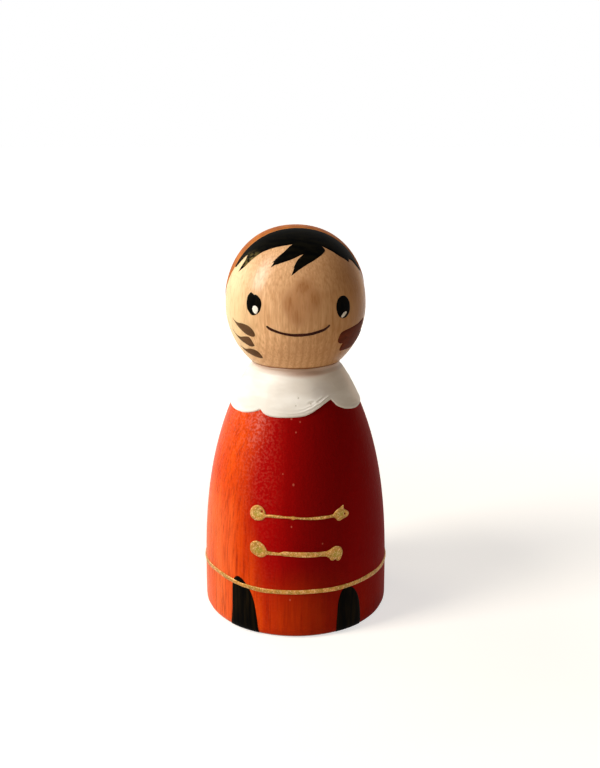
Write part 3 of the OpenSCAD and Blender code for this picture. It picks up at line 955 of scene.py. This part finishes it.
# Ridges and pits of the thick paint: places along each, its half width and its height
collar_ridges = [
    ([(-19, 50.2), (-8, 50.0), (3, 50.15), (12, 50.75), (20, 51.6), (27, 52.35), (33, 52.95)], 0.17, 0.16),
    ([(-6, 50.75), (4, 50.8), (12, 51.35), (18, 52.0), (22, 52.5), (27, 53.1)], 0.15, 0.09),
    ([(9.5, 51.75), (11.5, 52.3), (15, 52.5), (18.5, 52.25), (19.5, 51.85), (17, 51.5), (13, 51.45),
      (10.5, 51.6)], 0.15, 0.1),
    ([(10, 53.5), (15, 54.4), (22, 54.7), (29, 54.2)], 0.22, 0.04),
    ([(-26, 50.7), (-12, 51.6), (-2, 51.5)], 0.25, 0.035),
    ([(38, 52.6), (45, 51.5), (54, 50.7), (66, 50.2), (80, 50.1)], 0.25, 0.06),
    ([(43, 55.0), (49, 53.4), (58, 52.2)], 0.3, 0.05),
    ([(-58, 50.1), (-46, 50.4), (-36, 51.3)], 0.3, 0.05),
    ([(-92, 50.4), (-74, 50.0), (-60, 50.0)], 0.3, 0.05),
    ([(-150, 50.6), (-132, 50.3), (-114, 51.0)], 0.3, 0.06),
    ([(108, 51.6), (126, 50.3), (146, 50.2), (166, 51.0)], 0.3, 0.06),
    ([(96, 54.5), (116, 53.2), (136, 53.4)], 0.35, 0.05),
    ([(-168, 53.9), (-146, 52.9), (-124, 53.7)], 0.35, 0.05),
    ([(2.4, 53.2), (3.0, 53.3)], 0.22, -0.08),
    ([(0.0, 51.75), (0.5, 51.7)], 0.2, -0.06),
    ([(13.5, 51.95), (16, 51.95)], 0.26, -0.1),
    ([(0.2, 57.6), (1.6, 57.6)], 0.2, 0.12),
]


def collar_relief(turns, z, rise):
    reach = at_height(z, outline[:, 0])
    flat = np.column_stack([np.radians(turns) * reach, z])
    raised = 0.02 * ripple(turns, z, 6, 1.1, 5.5) + 0.018 * ripple(turns, z, 1.6, 2.4, 9.7)
    for path, half, height in collar_ridges:
        path = curved(path, closed=False) if len(path) > 2 else np.array(path)
        close = np.full(len(z), 1e9)
        for (turn_a, z_a), (turn_b, z_b) in zip(path[:-1], path[1:]):
            a = np.column_stack([np.radians(turn_a) * reach, np.full(len(z), z_a)])
            run = np.column_stack([np.radians(turn_b - turn_a) * reach, np.full(len(z), z_b - z_a)])
            share = np.clip(((flat - a) * run).sum(1) / np.maximum((run ** 2).sum(1), 1e-9), 0, 1)
            close = np.minimum(close, np.hypot(*(flat - a - share[:, None] * run).T))
        # A ridge fades out towards its ends
        to_end = np.min([np.hypot(*(flat - [np.radians(turn) * collar_reach, end_z]).T)
                         for turn, end_z in (path[0], path[-1])], axis=0)
        full = np.clip(to_end / 1.5, 0.15, 1) if len(path) > 2 else 1.0
        raised = raised + height * full * np.exp(-(close / half) ** 2)
    # A slightly rolled rim along the scallops
    raised += 0.03 * np.exp(-((z - collar_low(turns) - 0.4) / 0.22) ** 2)
    raised = np.where(rise > 0.16, raised, raised * 0.3)
    # The paint thins out towards the groove under the chin
    near_neck = neckward(z)
    filled = 0.34 * np.exp(-((z - body_h) / 0.4) ** 2) * np.clip(rise / collar_t, 0, 1)
    return raised * (1 - near_neck) - near_neck * (neck_sink + 0.6 * rise) + filled


white_collar = laid_ring("collar", collar_high, collar_low, on_coat, collar_t, spacing=0.15, rim=0.3,
                         steps=600, relief=collar_relief, under=lambda turns, z: -neck_sink * neckward(z))
finished(white_collar, "white_paint", white_paint(), "white_collar")

# The hem line, brushed round by hand and a little uneven
hem_w = 1.0
hem_places = [(-180, 11.3), (-140, 11.6), (-100, 11.5), (-76.7, 11.6), (-58.2, 11.95), (-48, 11.8),
              (-39.9, 11.6), (-32.9, 11.39), (-20.6, 11.2), (-9.5, 11.3), (1, 11.35), (11.8, 11.4),
              (23, 11.3), (35.8, 11.37), (51.9, 11.45), (63.9, 11.35), (100, 11.5), (140, 11.25),
              (180, 11.3)]


def hem_middle(turns):
    return np.interp(turns, *zip(*curved(hem_places, closed=False)))


def hem_half(turns):
    return hem_w / 2 * (1 + 0.14 * ripple(turns, np.zeros(len(turns)), 3.2, 9, 4.4))


def hem_relief(turns, z, rise):
    uneven = 0.5 + 0.5 * ripple(turns, z, 1.6, 0.5, 6.1)
    return -0.35 * rise * uneven


hem_braid = laid_ring("hem_line", lambda turns: hem_middle(turns) + hem_half(turns),
                      lambda turns: hem_middle(turns) - hem_half(turns), on_coat, gold_t,
                      spacing=0.09, rim=0.4, steps=640, relief=hem_relief)
gold = gold_paint()
finished(hem_braid, "gold_paint", gold, "hem_braid")

# The fringe: each run is one edge of a lock, from its tip to the next notch
fringe = [
    [(-68.4, 80.55), (-64.9, 81.55), (-61.8, 82.6), (-58.0, 83.4)],
    [(-58.0, 83.4), (-57.0, 82.35), (-58.2, 81.27), (-59.5, 80.19), (-60.4, 79.75)],
    [(-60.4, 79.75), (-53.1, 81.07), (-49.8, 81.97), (-45.7, 82.96), (-39.7, 84.04), (-35.8, 84.49),
     (-27.2, 85.12), (-18, 85.54), (-10.8, 85.77), (-4, 85.95)],
    [(-4, 85.95), (-7.9, 85.45), (-12.7, 84.5), (-17.2, 83.72), (-20.0, 83.05)],
    [(-20.0, 83.05), (-22.6, 82.35)],
    [(-22.6, 82.35), (-20.9, 82.45), (-23.1, 81.4)],
    [(-23.1, 81.4), (-19.4, 81.97), (-17.5, 82.08), (-12, 82.51), (-6.4, 82.92), (-0.6, 83.4), (4.5, 83.87),
     (8.3, 84.11)],
    [(8.3, 84.11), (5.5, 83.68), (2.3, 83.12), (0.2, 82.45), (-0.9, 81.95)],
    [(-0.9, 81.95), (-2.6, 81.25)],
    [(-2.6, 81.25), (-1.2, 81.55), (-3.6, 80.0)],
    [(-3.6, 80.0), (-0.5, 80.52), (4.8, 81.38), (10.6, 82.13), (17, 82.76), (23, 83.38), (28.6, 83.9),
     (32.8, 84.37), (35.0, 84.8), (33.3, 85.44)],
    [(33.3, 85.44), (38.5, 84.88), (44.3, 84.17), (49.8, 83.28), (56.4, 82.43), (60.1, 81.82)],
    [(60.1, 81.82), (63.4, 82.3)],
    [(63.4, 82.3), (68.2, 81.9), (72.0, 80.9), (76, 80.1), (79.5, 79.3)],
]

# The cap's front edge, from a side turned a little: how far it lies behind the middle, and its heights
cap_turn = 5
cap_side = np.array([(-3.2, 96), (-3.2, 81.5), (-3.0, 80.2), (-1.57, 77.74), (0.47, 75.1), (2.51, 72.46),
                     (5.02, 69.64), (8.01, 67.0), (12.25, 64.89), (17.27, 64.01)])


def from_side(out, back):
    """The place that lies so far out and so far back, as seen from that side"""
    a = math.radians(cap_turn)
    return out * math.cos(a) - back * math.sin(a), out * math.sin(a) + back * math.cos(a)


def how_far_back(points):
    a = math.radians(cap_turn)
    return points[:, 1] * math.cos(a) - points[:, 0] * math.sin(a)


def crown_at(r):
    """The height of the crown at a distance from the axis"""
    upper = outline[outline[:, 1] > head_z]
    return float(np.interp(r, upper[:, 0], upper[:, 1]))


def cap_front(z, forward):
    """How far behind the middle the cap's edge lies at a height"""
    return np.interp(-z, -cap_side[:, 1], cap_side[:, 0]) - forward


def cap_edge(side, lowest, forward):
    """Places along the cap's edge, from low on one side up to the top of the head"""
    top = crown_at(abs(cap_front(crown_z, forward)))
    found = []
    for share in np.linspace(0, 1, 40):
        z = lowest + (top - lowest) * (1 - (1 - share) ** 3)
        back = cap_front(z, forward)
        out = side * math.sqrt(max(float(at_height(z, outline[:, 0])) ** 2 - back ** 2, 0))
        x, y = from_side(out, back)
        found.append((math.degrees(math.atan2(x, -y)), z))
    return found


fringe_right_z = 79.3
fringe_left_z = 80.5
cap_gap = 0.03
along_cap = cap_edge(1, fringe_right_z, cap_gap) + cap_edge(-1, fringe_left_z, cap_gap)[::-1][1:]
hair_line = np.vstack([drawn(fringe), along_cap])
hair = laid("hair_locks", [hair_line], turn=0, tilt=50, low=on_wood, thickness=hair_t, roll=0.5,
            step=0.26, rim=0.15)
finished(hair, "black_paint", hair_black(), "hair")

# The cap: a layer over the top and back of the head, cut from the side along its front edge

def shell_section(line, low, high):
    """A closed section of a layer over the crown"""
    out = np.column_stack([at_height(line[:, 1], outward[:, 0]), at_height(line[:, 1], outward[:, 1])])
    out[0] = [0, 1]
    return np.vstack([line + high * out, (line + low * out)[::-1]])


def off_wood(points, every=4):
    """How far points lie off the wood, from the nearest place of its outline"""
    line, out = outline[::every], outward[::every]
    flat = np.column_stack([np.hypot(points[:, 0], points[:, 1]), points[:, 2]])
    nearest = [np.argmin(((line - place_at) ** 2).sum(1)) for place_at in flat]
    return ((flat - line[nearest]) * out[nearest]).sum(1)


cap_lowest = 63
cap_line = evenly(outline[outline[:, 1] > cap_lowest], 0.6)
cap = spun("cap_paint", shell_section(cap_line, on_wood, on_wood + cap_t), 200, ends_on_axis=True)
blade_back = 30
blade_w = 40
cap_outline = np.vstack([cap_side, [(blade_back, cap_side[-1, 1]), (blade_back, cap_side[0, 1])]])
cutter = blade(cap_outline)
prism = points_of(cutter)
prism_x, prism_y = from_side((prism[:, 2] - 0.5) * blade_w, prism[:, 0])
set_points(cutter, np.column_stack([prism_x, prism_y, prism[:, 1]]))
edit_all(cutter)
bpy.ops.mesh.normals_make_consistent(inside=False)
end_edit()
cut(cap, cutter, "INTERSECT")
split_large_faces(cap)
# Its outer face comes down in a rolled edge
cap_roll = 0.35
cap_points = points_of(cap)
depth = inside_depth(np.column_stack([how_far_back(cap_points), cap_points[:, 2]]), cap_outline)
drop = cap_t * 0.7 * (1 - rolled(depth / cap_roll))
outer = off_wood(cap_points) > on_wood + cap_t / 2
at_pole = np.hypot(cap_points[:, 0], cap_points[:, 1]) < 1e-3
set_points(cap, lifted(cap_points, np.where(outer & ~at_pole, -drop, 0)) * MM)
smooth(cap)
finished(cap, "russet_paint", russet_paint(), "cap")

# The eyes, and the glint on each
black = plain_paint("black paint", thick=(0.001, 0.001, 0.001), thin=(0.008, 0.006, 0.003),
                    stretch=(0.5, 0.5, 0.25), rough=0.35, ridge=0.02, gloss=0.012)
left_eye_turn = -34.4
right_eye_turn = 40.3
eye_tilt = 5
left_eye = [(-41.6, 73.6), (-41.5, 74.6), (-40.7, 75.45), (-38.3, 76.15), (-36.2, 76.0), (-34.6, 75.72),
            (-33.0, 75.82), (-30.7, 75.5), (-28.5, 74.94), (-27.4, 74.09), (-27.8, 73.24), (-28.7, 72.48),
            (-31.3, 71.78), (-35.7, 71.42), (-39.1, 72.08), (-40.9, 72.77)]
right_eye = [(33.3, 73.21), (34.2, 74.35), (36.8, 75.16), (40.6, 75.42), (44.4, 74.98), (47, 73.95),
             (47.6, 72.75), (46.7, 71.71), (43.9, 70.88), (40, 70.6), (36.1, 71.1), (33.9, 72.13)]
for side, line, eye_turn in (("left", left_eye, left_eye_turn), ("right", right_eye, right_eye_turn)):
    eye = laid(f"{side}_eye", [curved(line)], turn=eye_turn, tilt=eye_tilt, low=on_wood,
               thickness=stroke_t, roll=0.35, step=0.16)
    finished(eye, "black_paint", black, f"eye_{side}")
glint_white = plain_paint("glint white", thick=(0.88, 0.86, 0.82), thin=(0.80, 0.74, 0.67),
                          stretch=(1, 1, 1), rough=0.4, ridge=0.01)
ball = [(-0.7, 0.42), (-0.52, 0.72), (-0.12, 0.86), (0.28, 0.74), (0.58, 0.5), (0.66, 0.12), (0.6, -0.3),
        (0.42, -0.66), (0.12, -0.84), (-0.2, -0.76), (-0.48, -0.46), (-0.7, -0.1), (-0.78, 0.16)]
glint_left = laid("left_glint", [curved(around(-32.5, 72.66, ball))], turn=left_eye_turn, tilt=eye_tilt,
                  low=on_eye, thickness=stroke_t, roll=0.4, step=0.12)
finished(glint_left, "white_paint", glint_white, "glint_left")
dash = brushed([(-0.52, -0.3), (-0.1, 0.02), (0.2, 0.24), (0.46, 0.42)], [0.56, 0.72, 0.7, 0.5])
glint_right = laid("right_glint", [around(40.6, 71.4, dash)], turn=right_eye_turn, tilt=eye_tilt,
                   low=on_eye, thickness=stroke_t, roll=0.25, step=0.12)
finished(glint_right, "white_paint", glint_white, "glint_right")

# The smile: one thin line that swells and thins
smile = [(-22.7, 69.25), (-20.6, 68.85), (-17.3, 68.48), (-10.5, 67.95), (-2.7, 67.62), (3.5, 67.6),
         (8, 67.68), (14, 67.9), (22, 68.48), (25.3, 68.95), (27.2, 69.4)]
smile_widths = [0.44, 0.58, 0.56, 0.5, 0.58, 0.66, 0.58, 0.6, 0.56, 0.48, 0.38]
smile_reach = 15.2
mouth = laid("smile_line", [brush_line(smile, smile_widths, smile_reach)], turn=2.3, tilt=-10, low=on_wood,
             thickness=stroke_t, roll=0.2, step=0.13)
mouth_brown = plain_paint("mouth paint", thick=(0.030, 0.010, 0.007), thin=(0.075, 0.020, 0.013),
                          stretch=(0.3, 0.3, 1), rough=0.4, ridge=0.01)
finished(mouth, "mouth_paint", mouth_brown, "mouth")

# The cheek strokes: thin brown washes that let the wood's figure through
wash = plain_paint("brown wash", thick=(0.058, 0.024, 0.009), thin=(0.11, 0.046, 0.017),
                   stretch=(0.35, 0.35, 1), rough=0.6, ridge=0.01, wood_share=0.05, gloss=0.05)
dark_wash = plain_paint("dark brown wash", thick=(0.075, 0.009, 0.001), thin=(0.15, 0.024, 0.004),
                        stretch=(0.35, 0.35, 1), rough=0.6, ridge=0.01, wood_share=0.02, gloss=0.05)
cheek_tilt = -15
left_strokes = [
    [(-60.7, 69.85), (-57.2, 69.35), (-52.9, 69.15), (-48, 69.2), (-44.1, 69.1), (-40.6, 68.9),
     (-38.0, 68.5), (-36.0, 67.9), (-35, 67.2), (-36.0, 66.68), (-39.3, 66.55), (-44.1, 66.8),
     (-47.4, 67.21), (-53.2, 68.15), (-58.2, 69.2)],
    [(-66.2, 67.15), (-60.9, 66.2), (-57.5, 65.95), (-53.7, 65.9), (-48, 66.2), (-43.5, 66.35),
     (-41.4, 66.1), (-40.2, 65.5), (-39.3, 64.8), (-38.9, 64.36), (-43.2, 64.06), (-47.5, 64.22),
     (-54.6, 64.85), (-60.1, 65.7)],
    [(-62.9, 63.42), (-58, 63.05), (-54.3, 62.98), (-49.5, 63.25), (-44.9, 63.42), (-40, 63.3),
     (-36.6, 62.8), (-35.0, 61.5), (-42.9, 61.42), (-51.1, 61.8), (-57.7, 62.41)],
]
for i, (stroke, turn_to) in enumerate(zip(left_strokes, (-48, -52, -48))):
    dab = laid(f"left_cheek_dab_{i + 1}", [curved(stroke)], turn=turn_to, tilt=cheek_tilt, low=on_wood,
               thickness=wash_t, roll=0.5, step=0.17)
    finished(dab, "brown_wash", wash, f"cheek_stroke_left_{i + 1}")
upper_dab = [(38.7, 65.4), (38.6, 66.5), (40.2, 67.4), (44.5, 67.8), (50, 68.05), (55.5, 68.3), (61, 68.55),
             (66.5, 68.9), (73.5, 69.25), (74.5, 68.2), (72, 66.3), (68, 65.2), (61, 64.6), (55, 64.6),
             (47, 64.75), (42, 64.8)]
lower_dab = [(45.0, 63.1), (44.6, 64.0), (46.0, 64.95), (50, 65.3), (56, 65.5), (63.5, 65.7), (71, 66.0),
             (77, 66.4), (79, 65.9), (77.4, 64.6), (72, 63.5), (65, 62.87), (55.5, 62.85), (49, 62.8)]
cheek_patch = laid("right_cheek_patch", [curved(upper_dab), curved(lower_dab)], turn=58, tilt=cheek_tilt,
                   low=on_wood, thickness=wash_t, roll=0.5, step=0.18)
finished(cheek_patch, "brown_wash", dark_wash, "cheek_patch_right")

# The braids: a hand-brushed line with a knot at each end
braid_reach = 20.6


def pitted(pits):
    """Relief that dips where the paint of a knot was drawn out: each pit is a place, a size and a depth"""
    def relief(places):
        level = np.ones(len(places))
        for turn_at, z, size, deep in pits:
            away = np.linalg.norm(places - spot([turn_at], [z]), axis=1)
            level -= deep * np.exp(-(away / size) ** 2)
        ups = np.array([noise.noise(Vector(p) * 1.3) for p in places])
        return level * (1 + 0.22 * ups)
    return relief


upper_loops = [
    brush_line([(-20.4, 28.38), (-17.3, 28.46), (-14, 28.52), (-9.6, 28.49), (-5.3, 28.46), (-3, 28.42),
                (-1.6, 28.36), (0, 28.36), (2.7, 28.27), (7.6, 28.16), (12, 28.1), (16.4, 28.1),
                (21, 28.13), (25.4, 28.2)],
               [0.85, 0.6, 0.66, 0.6, 0.44, 0.5, 0.82, 0.5, 0.46, 0.54, 0.66, 0.74, 0.62, 0.8],
               braid_reach),
    curved([(-29.3, 28.6), (-28.8, 29.55), (-26.7, 30.3), (-24.3, 30.55), (-21.9, 30.38), (-19.8, 29.75),
            (-18.7, 28.92), (-19.0, 28.2), (-20.3, 27.5), (-22.4, 27.22), (-25.1, 27.12), (-27.5, 27.45),
            (-28.9, 28.0)]),
    curved([(23.6, 28.3), (25.2, 29.05), (27.4, 29.5), (29.4, 29.85), (31.0, 30.15), (31.6, 29.95),
            (31.4, 29.4), (32.9, 28.96), (34.8, 28.35), (34.9, 27.85), (33.2, 27.35), (30.6, 27.15),
            (28.4, 26.85), (26.6, 26.95), (25.4, 27.45), (24.2, 27.85)]),
]
upper_holes = [
    curved(around(-21.2, 29.3, [(-0.12, 0.2), (0.12, 0.24), (0.18, 0), (0.06, -0.26), (-0.16, -0.16)])),
    curved(around(31.9, 28.15, [(-0.2, 0.12), (0.05, 0.2), (0.22, 0), (0.05, -0.18), (-0.2, -0.1)])),
]
upper_frog = laid("upper_braid", upper_loops, turn=0, tilt=0, low=on_coat, thickness=gold_t, roll=0.32,
                  step=0.12, holes=upper_holes, rim=0.2,
                  relief=pitted([(-24.4, 28.9, 0.75, 0.5), (29.5, 28.3, 0.5, 0.35)]))
finished(upper_frog, "gold_paint", gold, "upper_frog")
lower_loops = [
    brush_line([(-19.6, 20.2), (-15.4, 20.16), (-11.7, 20.14), (-9.8, 20.14), (-8.2, 20.24), (-6.4, 20.28),
                (-3.3, 20.24), (1.4, 20.15), (6.2, 20.04), (11, 19.96), (15.9, 19.93), (20.5, 19.8)],
               [1.1, 0.78, 0.7, 0.62, 0.8, 1.12, 1.1, 1.16, 1.24, 1.14, 1.1, 1.35], braid_reach),
    curved([(-28.3, 20.5), (-28.2, 21.5), (-26.7, 22.22), (-24.3, 22.56), (-21.9, 22.4), (-19.8, 22.0),
            (-18.1, 21.3), (-17.1, 20.5), (-17.4, 19.75), (-19.4, 19.12), (-21.7, 18.9), (-24, 19.14),
            (-26.5, 19.55), (-27.8, 20.0)]),
    curved([(18.6, 20.35), (21, 20.72), (23, 21.16), (25.4, 21.28), (27.8, 20.9), (29.1, 20.06),
            (29.1, 19.3), (28.2, 18.5), (27.1, 17.9), (25.5, 17.9), (24.2, 18.3), (23.1, 18.1),
            (21.5, 18.2), (20.4, 18.75), (18.7, 19.25)]),
]
lower_frog = laid("lower_braid", lower_loops, turn=0, tilt=0, low=on_coat, thickness=gold_t, roll=0.36,
                  step=0.12, rim=0.2,
                  relief=pitted([(-21.3, 20.6, 0.5, 0.4), (25.2, 19.3, 0.7, 0.4), (-9.9, 20.2, 0.35, 0.3)]))
finished(lower_frog, "gold_paint", gold, "lower_frog")

# The boots: the left one runs up past the hem line, and the right one ends under it
boot_black = plain_paint("boot black", thick=(0.001, 0.001, 0.001), thin=(0.012, 0.008, 0.003),
                         stretch=(1, 1, 0.1), rough=0.34, ridge=0.02, gloss=0.012)
left_boot = [
    [(-43.2, paint_foot), (-42.4, 2.2), (-41.8, 4.11), (-41.5, 7.14), (-41.4, 9.62), (-40.8, 11.65),
     (-39.3, 12.66), (-37.5, 13.1), (-35.1, 13.0), (-32.9, 12.5), (-30, 11.51), (-28.1, 10.44),
     (-25.8, 8.36), (-24.1, 5), (-23.1, 2.2), (-22.6, paint_foot)],
    [(-22.6, paint_foot), (-33, paint_foot), (-43.2, paint_foot)],
]
right_boot = [
    [(25.2, paint_foot), (25.1, 2.2), (25.4, 3.82), (26.0, 7.29), (27.1, 9.11), (28.6, 10.35), (31, 10.92),
     (33.9, 10.9), (36.6, 10.4), (38.8, 9.42), (41, 7.78), (42.3, 5.47), (43.0, 2.4), (43.3, paint_foot)],
    [(43.3, paint_foot), (34, paint_foot), (25.2, paint_foot)],
]
for side, line, boot_turn in (("left", left_boot, -32.4), ("right", right_boot, 34.1)):
    boot = laid(f"{side}_boot_paint", [drawn(line)], turn=boot_turn, tilt=0, low=on_coat,
                thickness=stroke_t, roll=0.5, step=0.3)
    finished(boot, "black_paint", boot_black, f"boot_{side}")

# The studio: a white floor and world, and soft lamps from the left, the front and the right
bpy.ops.mesh.primitive_circle_add(vertices=96, radius=6, fill_type="NGON")
floor = new_piece("floor")
white, tree, shader, coords = material("floor white")
tree.nodes.remove(shader)
away = add(tree, "ShaderNodeVectorMath", operation="LENGTH", n0=coords)
glow = fade(tree, away.outputs["Value"], 60, 300, 0.64, 1.0, soft=False)
shine = add(tree, "ShaderNodeEmission", Color=(1, 1, 1), Strength=glow)
matt = add(tree, "ShaderNodeBsdfDiffuse", Color=(0.60, 0.57, 0.52))
both = add(tree, "ShaderNodeAddShader", n0=matt.outputs[0], n1=shine.outputs[0])
bounce = add(tree, "ShaderNodeBsdfDiffuse", Color=(0.92, 0.87, 0.78))
shown = add(tree, "ShaderNodeMixShader", n0=background_rays(tree), n1=bounce.outputs[0], n2=both.outputs[0])
set_inputs(tree, tree.nodes["Material Output"], Surface=shown.outputs[0])
floor.data.materials.append(white)

world = bpy.data.worlds.new("studio")
bpy.context.scene.world = world
world.use_nodes = True
tree = world.node_tree
sky = set_inputs(tree, tree.nodes["Background"], Color=(1, 0.66, 0.36), Strength=0.08)
seen = add(tree, "ShaderNodeBackground", Color=(1, 1, 1), Strength=1.0)
either = add(tree, "ShaderNodeMixShader", n0=background_rays(tree), n1=sky.outputs[0], n2=seen.outputs[0])
set_inputs(tree, tree.nodes["World Output"], Surface=either.outputs[0])


def lamp(name, turn_to, elevation, distance, width, height, watts, colour, aim_z=45):
    """A soft lamp that looks at the middle of the doll"""
    middle = Vector((0, 0, aim_z * MM))
    a, e = math.radians(turn_to), math.radians(elevation)
    out = Vector((math.sin(a) * math.cos(e), -math.cos(a) * math.cos(e), math.sin(e)))
    turned = (-out).to_track_quat("-Z", "Y").to_euler()
    bpy.ops.object.light_add(type="AREA", location=middle + out * distance, rotation=turned)
    made = bpy.context.object
    made.name = name
    made.data.shape = "RECTANGLE"
    made.data.size = width
    made.data.size_y = height
    made.data.energy = watts
    made.data.color = colour
    return made


lamp("window lamp", -67, 38, 0.55, 0.17, 0.46, 3.25, (1, 0.96, 0.88))
lamp("left lamp", -122, 16, 0.5, 0.3, 0.3, 0.75, (1, 0.96, 0.76))
lamp("front fill lamp", 4, 42, 0.6, 0.6, 0.6, 0.54, (1, 0.86, 0.70))
lamp("right lamp", 142, 6, 0.5, 0.16, 0.16, 0.1, (1, 0.5, 0.12))

# The camera stands where the photograph was taken from and looks down at the doll
look_down = 15.06
photo_high = 768
off_centre = 4.4
bpy.ops.object.camera_add(location=(0, -0.20984, 0.10936), rotation=(math.radians(90 - look_down), 0, 0))
camera = bpy.context.object
camera.data.sensor_width = 36
camera.data.lens = 44.35
camera.data.shift_x = off_centre / photo_high
camera.data.clip_start = 0.005
bpy.context.scene.camera = camera
bpy.context.scene.view_settings.view_transform = "Standard"
